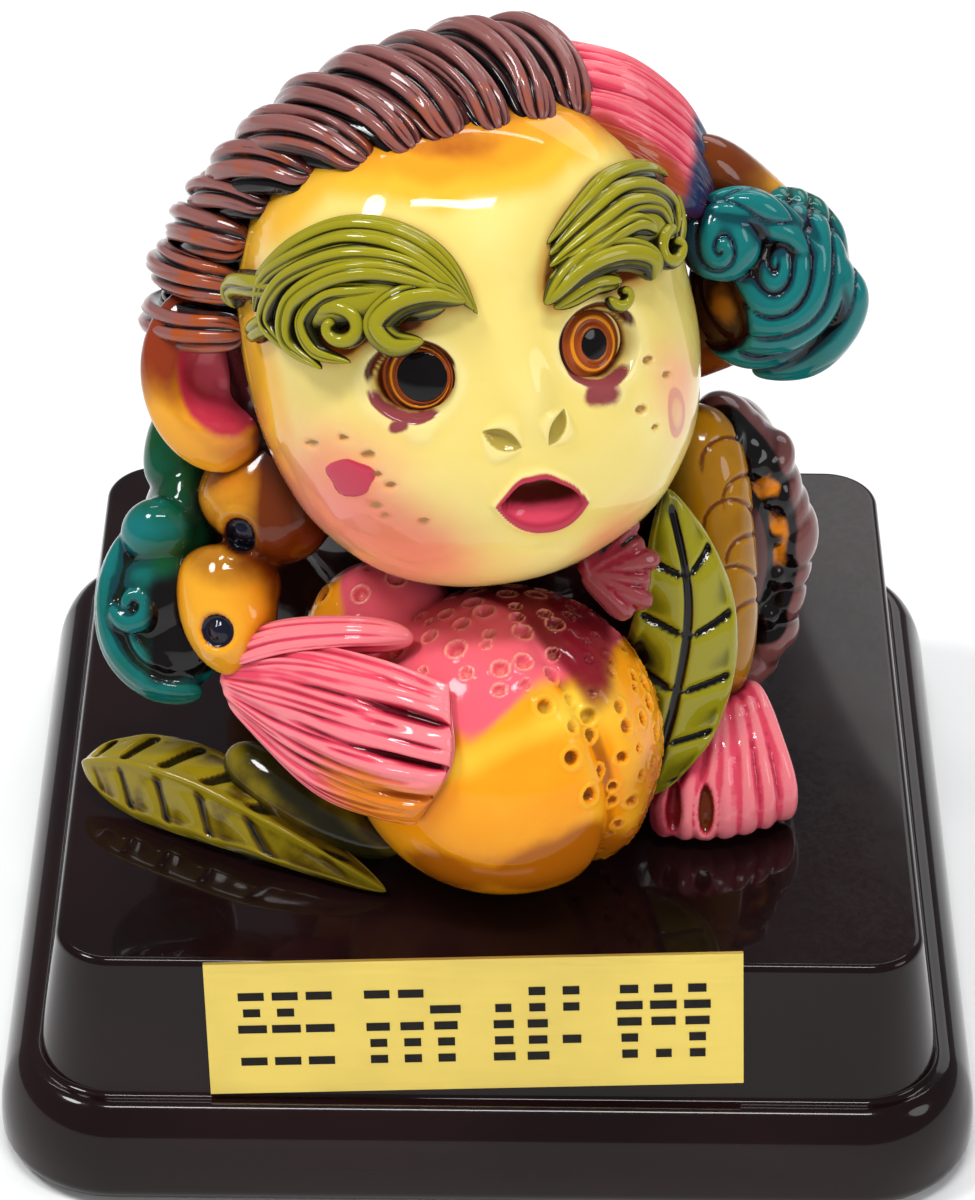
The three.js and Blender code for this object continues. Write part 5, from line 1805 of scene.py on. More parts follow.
def make_arms(context):
    """Both arms, in amber."""
    sizes, tint = context.scene.figurine_sizes, context.scene.figurine_glazes
    material = glaze(
        "Arm glaze",
        mixed(tint.amber, tint.yellow, 0.35),
        tint.amber,
        tint.amber_deep,
        tint.ink,
        [
            ("brown", mixed(tint.amber_deep, tint.ink, 0.35), 0.8, 0.35, 110.0),
            ("rim", mixed(tint.amber, tint.cream_pale, 0.4), 0.2, 0.3, 300.0),
            ("well", mixed(tint.ink, tint.navy, 0.2), 0.06, 0.12, 300.0),
        ],
        rough=0.1,
        mottle=0.4,
        scale=120.0,
        ink_depth=0.95,
    )

    def wells(points, mesh):
        points, first, rim_a = dent(points, (-29.6, -20.0, 38.6), 2.4, 1.5, (-0.2, -0.8, 0.6))
        points, second, rim_b = dent(points, (-32.2, -26.6, 29.6), 2.4, 1.2, (-0.35, -0.75, 0.5), rim=0.1)
        store(mesh, "well", np.maximum(first, second))
        store(mesh, "rim", smooth(rim_a, 0.6, 1.0) * 0.25)
        x, z = points[:, 0], points[:, 2]
        upper_arm = smooth(z, 33.5, 36)
        # brown glaze on the upper arm, deepened as painted shade towards the body and along the crease above the
        # forearm
        brown = upper_arm * (0.42 + 0.5 * smooth(x, -30, -23)) + 0.9 * smooth(x, -27.5, -24) + 0.5 * bump(z - 34, 1.6)
        store(mesh, "brown", brown)
        return points

    groups = shells_of(context)
    cast(context, "right_arm", groups["right_arm"], 0.42, material, wells)

    def plain(points, mesh):
        store(mesh, "well", np.zeros(len(points)))
        store(mesh, "rim", np.zeros(len(points)))
        store(mesh, "brown", 0.75 - 0.5 * bump(points[:, 0] - 34, 4) * smooth(points[:, 2], 58, 66))
        return points

    cast(context, "left_arm", groups["left_arm"], sizes.broad_grain / MM, material, plain)


def pink_glaze(context, name, extra):
    """The streaked pink of hands and foot."""
    tint = context.scene.figurine_glazes
    return glaze(
        name,
        tint.pink_pale,
        tint.pink,
        mixed(tint.pink, tint.crimson, 0.6),
        mixed(tint.crimson, tint.ink, 0.6),
        extra,
        rough=0.12,
        mottle=0.4,
        scale=200.0,
        ink_depth=1.0,
        shade=0.45,
    )


def make_hands(context):
    """Both hands: streaked pink, with orange at the fingertips and navy at the raised wrist."""
    tint = context.scene.figurine_glazes
    groups = shells_of(context)
    warm = pink_glaze(context, "Paw glaze", [("orange", mixed(tint.orange, tint.crimson, 0.35), 0.7, 0.3, 200.0)])

    def tips(points, mesh):
        low = smooth(25.5 - points[:, 2], 0, 6) * smooth(points[:, 0], -25, -12)
        store(mesh, "orange", 0.85 * low)
        return points

    laid(context, "paw", groups["paw"], 0.26, warm, tips)
    cuffed = pink_glaze(
        context,
        "Raised hand glaze",
        [
            ("painted_dusk_shade", mixed(tint.pink, tint.crimson, 0.5), 0.6, 0.5, 200.0),
            ("orange", mixed(tint.rust, tint.crimson, 0.3), 0.7, 0.3, 200.0),
            ("navy", tint.navy, 0.9, 0.3, 200.0),
        ],
    )

    def cuff(points, mesh):
        lower = smooth(points[:, 0] - 0.35 * (points[:, 2] - 75), 18.2, 23.2)
        store(mesh, "navy", lower)
        # painted shade: the whole raised hand is darkened a little towards crimson
        store(mesh, "painted_dusk_shade", np.full(len(points), 0.4))
        store(mesh, "orange", 0.85 * smooth(-points[:, 1], 2.6, 6.0))
        return points

    laid(context, "raised_hand", groups["raised_hand"], 0.26, cuffed, cuff)


def teal_glaze(context, name, layers):
    """The blue-green of sleeve and drape."""
    tint = context.scene.figurine_glazes
    return glaze(
        name,
        tint.teal_pale,
        tint.teal,
        mixed(tint.teal, tint.navy, 0.6),
        tint.ink,
        layers,
        rough=0.1,
        mottle=0.35,
        scale=150.0,
        ink_depth=0.86,
        shade=0.5,
    )


def make_clouds(context):
    """The sleeve of the raised arm and the drape beside the other."""
    tint = context.scene.figurine_glazes
    groups = shells_of(context)
    sleeve = teal_glaze(
        context,
        "Sleeve glaze",
        [
            ("green", tint.green, 0.8, 0.3, 180.0),
            ("painted_dark_recess", mixed(tint.amber_deep, tint.ink, 0.75), 0.5, 0.3, 200.0),
            ("glint", mixed(tint.orange, tint.rust, 0.3), 0.7, 0.3, 420.0),
        ],
    )

    def mossy(points, mesh):
        store(mesh, "green", 0.5 * smooth(points[:, 1], -2, 4) + 0.35 * bump(points[:, 2] - 52, 3))
        height, far = ring_height(points)
        out = normals(mesh)
        front = smooth(-0.72 * out[:, 1] + 0.68 * out[:, 2] + 0.2 * out[:, 0], 0.0, 0.45)
        deep = 0.7 * front * (1 - 0.5 * smooth(far, 8, 15))
        spot = np.hypot((points[:, 0] - 24.2) / 5.0, (points[:, 2] - 59.4) / 6.4)
        # painted shade: the pushed-in recess at the sleeve's lower left is painted near-black brown
        painted_dark_recess = (1 - smooth(spot, 0.72, 1.0)) * (points[:, 1] < 1)
        store(mesh, "painted_dark_recess", painted_dark_recess)
        store(mesh, "glint", 0.75 * bump(np.hypot(points[:, 0] - 26, (points[:, 2] - 61) * 0.7), 1.6))
        points = points - out * (deep * (1 - height) * (1 - painted_dark_recess))[:, None]
        return points + np.array([0, 1.0, -0.4]) * (3.0 * painted_dark_recess)[:, None]

    cast(context, "sleeve", groups["sleeve"], 0.33, sleeve, mossy, steps=3)
    drape = teal_glaze(
        context,
        "Drape glaze",
        [
            ("green", tint.green, 0.9, 0.3, 160.0),
            ("slip", mixed(tint.amber, tint.yellow, 0.4), 0.5, 0.2, 260.0),
            ("dark", tint.ink, 0.3, 0.3, 200.0),
        ],
    )

    def patches(points, mesh):
        x, z = points[:, 0], points[:, 2]
        store(mesh, "green", 0.4 + 0.3 * bump(z - 34, 4) * smooth(x, -42, -37) + 0.4 * smooth(z, 36, 42))
        store(mesh, "slip", 0.8 * bump(np.hypot(x + 37, (z - 28.6) * 1.6), 1.9))
        # painted shade: ink inside the hem's curve and at the drape's top by the arm
        inner = smooth(x, -41.5, -38.5) * (1 - smooth(z, 30, 34)) * smooth(z, 18.6, 20.6)
        store(mesh, "dark", 0.85 * inner + 0.5 * smooth(x, -38, -34) * smooth(z, 32, 36))
        return points

    cast(context, "drape", groups["drape"], 0.38, drape, patches, steps=3)


def make_leaves(context):
    """The leaves, with their black veins."""
    tint = context.scene.figurine_glazes
    green = glaze(
        "Leaf glaze",
        tint.olive_pale,
        mixed(tint.olive, tint.olive_pale, 0.25),
        mixed(tint.olive, tint.ink, 0.5),
        tint.ink,
        [("vein", tint.ink, 0.12, 0.2, 400.0)],
        rough=0.09,
        mottle=0.5,
        scale=110.0,
        shade=0.4,
    )
    brown = glaze(
        "Lying leaf glaze",
        mixed(mixed(tint.olive_pale, tint.amber, 0.15), tint.olive, 0.3),
        mixed(mixed(tint.olive, tint.amber_deep, 0.3), tint.ink, 0.3),
        mixed(tint.olive, tint.ink, 0.8),
        tint.ink,
        [("vein", mixed(tint.ink, tint.olive, 0.15), 0.4, 0.3, 260.0)],
        rough=0.09,
        mottle=0.9,
        scale=150.0,
        shade=0.5,
    )
    for name, leaf, finish in zip(("lying_leaf", "standing_leaf"), LEAVES, (brown, green)):
        vertices, faces, depth = leaf_net(*leaf)
        mesh = raw_mesh(name, [(vertices, faces)])
        store(mesh, "vein", smooth(depth, 0.2, 0.75))
        outward(mesh)
        finish_piece(context, name, mesh, level_cut(coordinates(mesh)), finish, "monkey_figure", 0.3)

    def bare(points, mesh):
        store(mesh, "vein", 0.62 + 0.2 * np.sin(0.6 * points[:, 0] + points[:, 2]))
        return points

    cast(context, "second_leaf", shells_of(context)["leaves"][2:], 0.35, brown, bare)


SHIN_SCALES = [(27.2, 29.8, 3.2), (29.6, 25.6, 3.0), (27.6, 22.6, 3.2), (30.2, 18.6, 3.0), (28.2, 14.8, 3.2), (30.8, 10.8, 3.0)]


def make_leg(context):
    """Shin, foot and the fur behind them."""
    tint = context.scene.figurine_glazes
    groups = shells_of(context)
    tan = glaze(
        "Shin glaze",
        mixed(tint.amber, tint.olive, 0.6),
        mixed(tint.amber_deep, tint.olive, 0.4),
        mixed(tint.amber_deep, tint.ink, 0.4),
        mixed(tint.amber_deep, tint.ink, 0.7),
        [("line", mixed(tint.amber_deep, tint.ink, 0.4), 0.3, 0.3, 400.0), ("painted_dusk_shade", mixed(tint.olive, tint.ink, 0.3), 0.8, 0.4, 90.0)],
        rough=0.14,
        mottle=0.5,
        scale=130.0,
    )

    def scales(points, mesh):
        x, up = points[:, 0], 0.54 * points[:, 1] + 0.84 * points[:, 2]
        line = np.zeros(len(points))
        for cx, cz, radius in SHIN_SCALES:
            far = np.hypot(x - cx, up - cz)
            upper = smooth(up - cz, -1.6, 0.6)
            line = np.maximum(line, bump(far - radius, 0.24) * upper)
        line = line * (points[:, 1] < 0)
        out = normals(mesh)
        store(mesh, "line", 0.62 * line)
        # painted shade: the shin is darkened along its left side and at its right edge
        store(mesh, "painted_dusk_shade", 0.55 * (1 - smooth(x, 21, 25.5)) + 0.4 * smooth(x, 30.5, 33))
        return points - out * (0.22 * line)[:, None]

    cast(context, "shin", groups["shin"], 0.38, tan, scales)
    pink = pink_glaze(
        context,
        "Foot glaze",
        [("gap", mixed(tint.amber_deep, tint.ink, 0.35), 0.2, 0.2, 300.0), ("plum", tint.crimson, 0.6, 0.3, 220.0)],
    )

    def gaps(points, mesh):
        total = np.zeros(len(points))
        for x in (21.4, 25.2):
            off_x, off_z = points[:, 0] - x, (points[:, 2] - 5.4) / 3.0
            inside = 1 - smooth(np.hypot(off_x, off_z), 0.6, 1.1)
            inside = inside * (points[:, 1] < -22)
            total = np.maximum(total, inside)
        points = points + np.array([0, 1.0, -0.4]) * (1.3 * total)[:, None]
        # painted shade: the carved toe gaps are painted dark
        store(mesh, "gap", total)
        store(mesh, "plum", 0.55 * (1 - smooth(points[:, 0], 21, 25)))
        return points

    cast(context, "foot", groups["foot"], 0.34, pink, gaps, steps=3)
    fur = glaze(
        "Fur glaze",
        mixed(tint.maroon_pale, tint.maroon, 0.4),
        mixed(tint.maroon, tint.maroon_pale, 0.15),
        mixed(tint.maroon, tint.ink, 0.6),
        tint.ink,
        [
            ("painted_shade", tint.ink, 0.4, 0.3, 190.0),
            ("orange", mixed(tint.orange, tint.rust, 0.4), 0.6, 0.25, 190.0),
        ],
        rough=0.14,
        mottle=0.5,
        scale=240.0,
        ink_depth=0.8,
    )

    def ember(points, mesh):
        line = along_curve(EMBER_LINE, np.linspace(0, 1, 60))
        near = np.min(np.linalg.norm(points[:, None] - line[None], axis=2), axis=1)
        crown = smooth(normals(mesh)[:, 1] * -0.8 + normals(mesh)[:, 2] * 0.6, 0.2, 0.7)
        share = np.argmin(np.linalg.norm(points[:, None] - line[None], axis=2), axis=1) / 59
        bars = np.clip(bump(share - 0.36, 0.07) + bump(share - 0.6, 0.12), 0, 1)
        store(mesh, "orange", (1 - smooth(near, 1.6, 2.6)) * crown * bars)
        # painted shade: near-black along the fur's front edge, in the crevice beside the shin
        store(mesh, "painted_shade", (1 - smooth(near, 2.2, 3.4)) * 1.2)
        return points

    cast(context, "fur", groups["fur"], 0.46, fur, ember)
    ruff = glaze(
        "Ruff glaze",
        mixed(tint.crimson, tint.maroon_pale, 0.5),
        mixed(tint.crimson, tint.maroon, 0.25),
        mixed(tint.crimson, tint.maroon, 0.7),
        tint.ink,
        rough=0.12,
        mottle=0.5,
        scale=400.0,
        ink_depth=0.8,
    )
    cast(context, "ruff", groups["ruff"], 0.26, ruff, steps=3)


def make_body(context):
    """The trunk and haunches, mostly hidden from the front."""
    tint = context.scene.figurine_glazes
    material = glaze(
        "Body glaze",
        mixed(tint.amber, tint.rust, 0.3),
        mixed(tint.amber, tint.rust, 0.5),
        mixed(tint.amber_deep, tint.ink, 0.3),
        tint.ink,
        [
            ("moss", mixed(tint.olive, tint.ink, 0.3), 0.8, 0.3, 90.0),
            ("painted_shade", mixed(tint.ink, tint.maroon, 0.25), 0.5, 0.35, 120.0),
        ],
        rough=0.14,
        mottle=0.5,
        scale=80.0,
    )

    def moss(points, mesh):
        store(mesh, "moss", 0.4 * (1 - smooth(points[:, 2], 2, 12)))
        # painted shade: the trunk's front, under the head and behind the peach, is darkened nearly to black
        store(mesh, "painted_shade", 0.95 * smooth(-points[:, 1], -1, 5))
        return points

    cast(context, "body", shells_of(context)["body"], 0.9, material, moss)


# The stand and its nameplate


def stand_profile(sizes):
    """Points from the underside round the foot and up the block: reach from the top's edge, and height."""
    outer, top, bottom = sizes.width / 2, sizes.block_top / 2, sizes.block_bottom / 2
    shoulder = bottom + 0.9 * MM
    widest = sizes.foot_height - sizes.foot_rounding
    points = []
    for i in range(9):
        angle = math.radians(-90 + 90 * i / 8)
        points.append((outer - sizes.under_rounding * (1 - math.cos(angle)), sizes.under_rounding * (1 + math.sin(angle))))
    for i in range(25):
        angle = math.radians(90 * i / 24)
        points.append((shoulder + (outer - shoulder) * math.cos(angle), widest + sizes.foot_rounding * math.sin(angle)))
    for i in range(5):
        angle = math.radians(90 * i / 4)
        points.append((bottom + 0.9 * MM * (1 - math.sin(angle)), sizes.foot_height + 0.6 * MM * (1 - math.cos(angle))))
    r = sizes.edge_radius
    points.append(((top + bottom) / 2, (sizes.foot_height + sizes.height) / 2))
    for i in range(9):
        angle = math.radians(90 * i / 8)
        points.append((top - r * (1 - math.cos(angle)), sizes.height - r * (1 - math.sin(angle))))
    return [(x - top, z) for x, z in points]


def stand_tree():
    """A moulding: the seed's profile carried round a rounded square, still open above and below."""
    tree, enter, leave, names = geometry_tree(
        "Moulded stand",
        [
            ("Width", NUMBER),
            ("Corner radius", NUMBER),
            ("Corner steps", "NodeSocketInt"),
            ("Material", "NodeSocketMaterial"),
        ],
    )

    width = enter.outputs["Width"]
    quad = node(tree, "GeometryNodeCurvePrimitiveQuadrilateral", {"Width": width, "Height": width}).outputs[0]
    inputs = {"Curve": quad, "Radius": enter.outputs["Corner radius"], "Count": enter.outputs["Corner steps"]}
    square = node(tree, "GeometryNodeFilletCurve", inputs, mode="POLY").outputs[0]
    profile = node(tree, "GeometryNodeMeshToCurve", {0: enter.outputs["Geometry"]}).outputs[0]
    side = node(tree, "GeometryNodeCurveToMesh", {0: square, 1: profile}).outputs[0]
    merged = node(tree, "GeometryNodeMergeByDistance", {"Geometry": side, "Distance": 1e-5}).outputs[0]
    real = node(tree, "GeometryNodeRealizeInstances", {"Geometry": merged}).outputs[0]
    done = node(tree, "GeometryNodeSetMaterial", {"Geometry": real, "Material": enter.outputs["Material"]}).outputs[0]
    tree.links.new(done, leave.inputs[0])
    return tree, names


def close_and_face(mesh):
    """Closes the moulding's open ends and gives every corner the normal of its larger faces."""
    work = bmesh.new()
    work.from_mesh(mesh)
    rim = [edge for edge in work.edges if edge.is_boundary]
    bmesh.ops.holes_fill(work, edges=rim, sides=0)
    bmesh.ops.recalc_face_normals(work, faces=work.faces)
    work.to_mesh(mesh)
    work.free()
    total = np.zeros((len(mesh.vertices), 3))
    for face in mesh.polygons:
        total[list(face.vertices)] += np.array(face.normal) * face.area
    mesh.shade_smooth()
    mesh.normals_split_custom_set_from_vertices(unit(total).tolist())


def lacquer_material(tint):
    """Dark lacquer: almost black, faintly red, with fine brush waves and a little dust."""
    material = bpy.data.materials.new("Lacquer")
    material.use_nodes = True
    tree = material.node_tree
    bsdf = tree.nodes["Principled BSDF"]
    place = node(tree, "ShaderNodeTexCoord").outputs["Object"]
    cloud = node(tree, "ShaderNodeTexNoise", {"Vector": place, "Scale": 26.0, "Detail": 4.0}).outputs["Fac"]
    dust = node(tree, "ShaderNodeTexNoise", {"Vector": place, "Scale": 1400.0, "Detail": 2.0}).outputs["Fac"]
    base = blend(tree, ramp(tree, cloud, 0.35, 0.7), rgba(tint), rgba(mixed(tint, (0, 0, 0), 0.5)))
    rough = node(tree, "ShaderNodeMapRange", {0: dust, 1: 0.35, 2: 0.75, 3: 0.1, 4: 0.2}).outputs[0]
    swell = node(tree, "ShaderNodeTexNoise", {"Vector": place, "Scale": 60.0, "Detail": 2.0}).outputs["Fac"]
    wave = node(tree, "ShaderNodeBump", {"Height": swell, "Strength": 0.08, "Distance": 0.001}).outputs["Normal"]
    tree.links.new(base, bsdf.inputs["Base Color"])
    tree.links.new(rough, bsdf.inputs["Roughness"])
    tree.links.new(wave, bsdf.inputs["Normal"])
    bsdf.inputs["Specular IOR Level"].default_value = 0.08
    bsdf.inputs["Coat Weight"].default_value = 0.32
    bsdf.inputs["Coat Roughness"].default_value = 0.04
    return material


def make_stand(context):
    """The stand."""
    sizes = context.scene.figurine_stand
    profile = stand_profile(sizes)
    seed = bpy.data.meshes.new("stand_profile")
    seed.from_pydata([(x, -z, 0) for x, z in profile], [(i, i + 1) for i in range(len(profile) - 1)], [])
    material = lacquer_material(sizes.lacquer)
    tree, names = stand_tree()
    values = {
        "Width": sizes.block_top,
        "Corner radius": sizes.corner_radius,
        "Corner steps": 12,
        "Material": material,
    }
    mesh = grown("stand_lacquered", seed, tree, names, values)
    piece = placed("stand_lacquered", mesh, [material], "stand")
    close_and_face(mesh)
    return piece


def stroke_tree():
    """A sheet with rows of short inlaid strokes in four blocks; the strokes are only marks."""
    tree, enter, leave, names = geometry_tree(
        "Plate strokes",
        [
            ("Blocks", "NodeSocketInt"),
            ("Rows", "NodeSocketInt"),
            ("Pitch", NUMBER),
            ("Row pitch", NUMBER),
            ("Stroke length", NUMBER),
            ("Stroke width", NUMBER),
            ("Height", NUMBER),
            ("Seed", "NodeSocketInt"),
            ("Metal", "NodeSocketMaterial"),
            ("Ink", "NodeSocketMaterial"),
        ],
    )
    columns = 3
    grid = node(
        tree,
        "GeometryNodeMeshLine",
        {"Count": enter.outputs["Rows"]},
        mode="OFFSET",
    )
    step = node(tree, "ShaderNodeCombineXYZ", {2: enter.outputs["Row pitch"]}).outputs[0]
    half = maths(tree, "MULTIPLY", maths(tree, "SUBTRACT", enter.outputs["Rows"], 1), enter.outputs["Row pitch"])
    start = node(tree, "ShaderNodeCombineXYZ", {2: maths(tree, "MULTIPLY", half, -0.5)}).outputs[0]
    tree.links.new(step, grid.inputs["Offset"])
    tree.links.new(start, grid.inputs["Start Location"])
    bar = node(tree, "GeometryNodeMeshCube", {"Size": (1, 1, 1), "Vertices X": 9, "Vertices Y": 2, "Vertices Z": 5}).outputs[0]
    length = node(tree, "FunctionNodeRandomValue", {"Seed": enter.outputs["Seed"]})
    length.inputs[2].default_value = 0.45
    length.inputs[3].default_value = 1.0
    size = node(
        tree,
        "ShaderNodeCombineXYZ",
        {
            0: maths(tree, "MULTIPLY", length.outputs[1], enter.outputs["Stroke length"]),
            1: enter.outputs["Height"],
            2: enter.outputs["Stroke width"],
        },
    ).outputs[0]
    joined = tree.nodes.new("GeometryNodeJoinGeometry")
    block_line = node(tree, "GeometryNodeMeshLine", {"Count": enter.outputs["Blocks"]}, mode="OFFSET")
    block_step = node(tree, "ShaderNodeCombineXYZ", {0: enter.outputs["Pitch"]}).outputs[0]
    span = maths(tree, "MULTIPLY", maths(tree, "SUBTRACT", enter.outputs["Blocks"], 1), enter.outputs["Pitch"])
    block_start = node(tree, "ShaderNodeCombineXYZ", {0: maths(tree, "MULTIPLY", span, -0.5)}).outputs[0]
    tree.links.new(block_step, block_line.inputs["Offset"])
    tree.links.new(block_start, block_line.inputs["Start Location"])
    rows = node(tree, "GeometryNodeInstanceOnPoints", {"Points": block_line.outputs[0], "Instance": grid.outputs[0]}).outputs[0]
    rows = node(tree, "GeometryNodeRealizeInstances", {"Geometry": rows}).outputs[0]
    for column in range(columns):
        shift = maths(tree, "MULTIPLY", enter.outputs["Stroke length"], 1.08 * (column - (columns - 1) / 2))
        pick = node(
            tree,
            "FunctionNodeRandomValue",
            {"Seed": maths(tree, "ADD", enter.outputs["Seed"], column + 1)},
            data_type="BOOLEAN",
        )
        pick.inputs["Probability"].default_value = 0.8
        jog = node(tree, "ShaderNodeCombineXYZ", {0: shift}).outputs[0]
        moved = node(tree, "GeometryNodeTransform", {"Geometry": rows, "Translation": jog}).outputs[0]
        inputs = {"Points": moved, "Instance": bar, "Scale": size, "Selection": pick.outputs[3]}
        strokes = node(tree, "GeometryNodeInstanceOnPoints", inputs).outputs[0]
        tree.links.new(strokes, joined.inputs[0])
    real = node(tree, "GeometryNodeRealizeInstances", {"Geometry": joined.outputs[0]}).outputs[0]
    inked = node(tree, "GeometryNodeSetMaterial", {"Geometry": real, "Material": enter.outputs["Ink"]}).outputs[0]
    sheet = node(
        tree, "GeometryNodeSetMaterial", {"Geometry": enter.outputs["Geometry"], "Material": enter.outputs["Metal"]}
    ).outputs[0]
    whole = tree.nodes.new("GeometryNodeJoinGeometry")
    tree.links.new(inked, whole.inputs[0])
    tree.links.new(sheet, whole.inputs[0])
    tree.links.new(whole.outputs[0], leave.inputs[0])
    return tree, names


def gilt_material(tint):
    """Pale gold sheet, brushed and a little cloudy."""
    material = bpy.data.materials.new("Gilt")
    material.use_nodes = True
    tree = material.node_tree
    bsdf = tree.nodes["Principled BSDF"]
    place = node(tree, "ShaderNodeTexCoord").outputs["Object"]
    stretched = node(tree, "ShaderNodeMapping", {"Vector": place, "Scale": (40.0, 600.0, 600.0)}).outputs[0]
    brush = node(tree, "ShaderNodeTexNoise", {"Vector": stretched, "Scale": 4.0, "Detail": 3.0}).outputs["Fac"]
    cloud = node(tree, "ShaderNodeTexNoise", {"Vector": place, "Scale": 60.0, "Detail": 3.0}).outputs["Fac"]
    base = blend(tree, ramp(tree, cloud, 0.3, 0.75), rgba(tint), rgba(mixed(tint, (0.55, 0.4, 0.1), 0.35)))
    rough = node(tree, "ShaderNodeMapRange", {0: brush, 1: 0.3, 2: 0.7, 3: 0.3, 4: 0.42}).outputs[0]
    wave = node(tree, "ShaderNodeBump", {"Height": cloud, "Strength": 0.15, "Distance": 0.0004}).outputs["Normal"]
    tree.links.new(base, bsdf.inputs["Base Color"])
    tree.links.new(rough, bsdf.inputs["Roughness"])
    tree.links.new(wave, bsdf.inputs["Normal"])
    bsdf.inputs["Metallic"].default_value = 0.75
    return material


def ink_material(tint):
    """Black enamel of the strokes."""
    material = bpy.data.materials.new("Stroke enamel")
    material.use_nodes = True
    tree = material.node_tree
    bsdf = tree.nodes["Principled BSDF"]
    place = node(tree, "ShaderNodeTexCoord").outputs["Object"]
    cloud = node(tree, "ShaderNodeTexNoise", {"Vector": place, "Scale": 900.0}).outputs["Fac"]
    base = blend(tree, cloud, rgba(tint), rgba(mixed(tint, (0.03, 0.027, 0.02), 0.5)))
    tree.links.new(base, bsdf.inputs["Base Color"])
    bsdf.inputs["Roughness"].default_value = 0.5
    bsdf.inputs["Specular IOR Level"].default_value = 0.15
    return material


def make_nameplate(context):
    """The nameplate with its strokes, laid on the block's front in place of the CAD's plate."""
    sizes = context.scene.figurine_stand
    w, h, t = sizes.plate_width, sizes.plate_height, sizes.plate_thickness
    columns, rows = 48, 16
    grid_x = np.linspace(-w / 2, w / 2, columns + 1)
    grid_z = np.linspace(-h / 2, h / 2, rows + 1)
    lip = 0.12 * MM
    vertices, faces = [], []
    for face_y in (-t / 2, t / 2):
        for z in grid_z:
            for x in grid_x:
                near = min(w / 2 - abs(x), h / 2 - abs(z))
                roll = lip * math.exp(-((near / (0.5 * MM)) ** 2)) if face_y < 0 else 0.0
                sag = 0.15 * MM * math.sin(3.1 * x / w) * math.cos(2.2 * z / h)
                vertices.append((x, face_y + roll * 0.6 + (sag * 0.2 if face_y < 0 else 0.0), z))
    layer = (columns + 1) * (rows + 1)
    for j in range(rows):
        for i in range(columns):
            a = j * (columns + 1) + i
            b, c, d = a + 1, a + columns + 2, a + columns + 1
            faces.append((a, b, c, d))
            faces.append((layer + a, layer + d, layer + c, layer + b))
    rim = list(range(columns))
    rim += [j * (columns + 1) + columns for j in range(rows)]
    rim += [rows * (columns + 1) + i for i in range(columns, 0, -1)]
    rim += [j * (columns + 1) for j in range(rows, 0, -1)]
    for a, b in zip(rim, rim[1:] + rim[:1]):
        faces.append((a, layer + a, layer + b, b))
    seed = bpy.data.meshes.new("plate_sheet")
    seed.from_pydata(vertices, [], faces)
    outward(seed)
    gilt, ink = gilt_material(sizes.gilt), ink_material(context.scene.figurine_glazes.ink)
    tree, names = stroke_tree()
    values = {
        "Blocks": 4,
        "Rows": 5,
        "Pitch": 14.4 * MM,
        "Row pitch": 2.2 * MM,
        "Stroke length": 3.6 * MM,
        "Stroke width": 1.05 * MM,
        "Height": 0.2 * MM,
        "Seed": 4,
        "Metal": gilt,
        "Ink": ink,
    }
    mesh = grown("nameplate_gilt", seed, tree, names, values)
    points = coordinates(mesh)
    indices = np.empty(len(mesh.polygons), np.int32)
    mesh.polygons.foreach_get("material_index", indices)
    ink_index = [i for i, m in enumerate(mesh.materials) if m == ink][0]
    marks = sorted({v for p, k in zip(mesh.polygons, indices) if k == ink_index for v in p.vertices})
    points[marks, 1] -= t / 2 - 0.02 * MM
    place_coordinates(mesh, points)
    inset = (sizes.block_bottom - sizes.block_top) / 2
    lean = math.atan2(inset, sizes.height - sizes.foot_height - 0.6 * MM)
    tilt = math.radians(2.1)
    reach = (h * math.cos(tilt) + w * math.sin(tilt)) / 2
    where = Matrix.Translation((-1.6 * MM, -sizes.block_bottom / 2, sizes.foot_height + 0.6 * MM))
    where = where @ Matrix.Rotation(-lean, 4, "X")
    where = where @ Matrix.Translation((0, -t / 2 - 0.3 * MM, reach + 0.2 * MM)) @ Matrix.Rotation(-tilt, 4, "Y")
    mesh.transform(where)
    materials = list(mesh.materials)
    piece = placed("nameplate_gilt", mesh, materials, "nameplate")
    mesh.polygons.foreach_set("material_index", indices)
    mesh.shade_flat()
    return piece


# The studio


def area_light(name, at, aim, width, height, power, mirrored=True):
    """A soft box that faces `aim`; unless `mirrored`, the glaze doesn't reflect it."""
    data = bpy.data.lights.new(name, "AREA")
    data.shape = "ELLIPSE" if max(width, height) < 2 * min(width, height) else "RECTANGLE"
    data.size, data.size_y, data.energy = width, height, power
    lamp = bpy.data.objects.new(name, data)
    lamp.location = at
    lamp.rotation_euler = (Vector(aim) - Vector(at)).to_track_quat("-Z", "Y").to_euler()
    lamp.visible_glossy = mirrored
    bpy.context.scene.collection.objects.link(lamp)


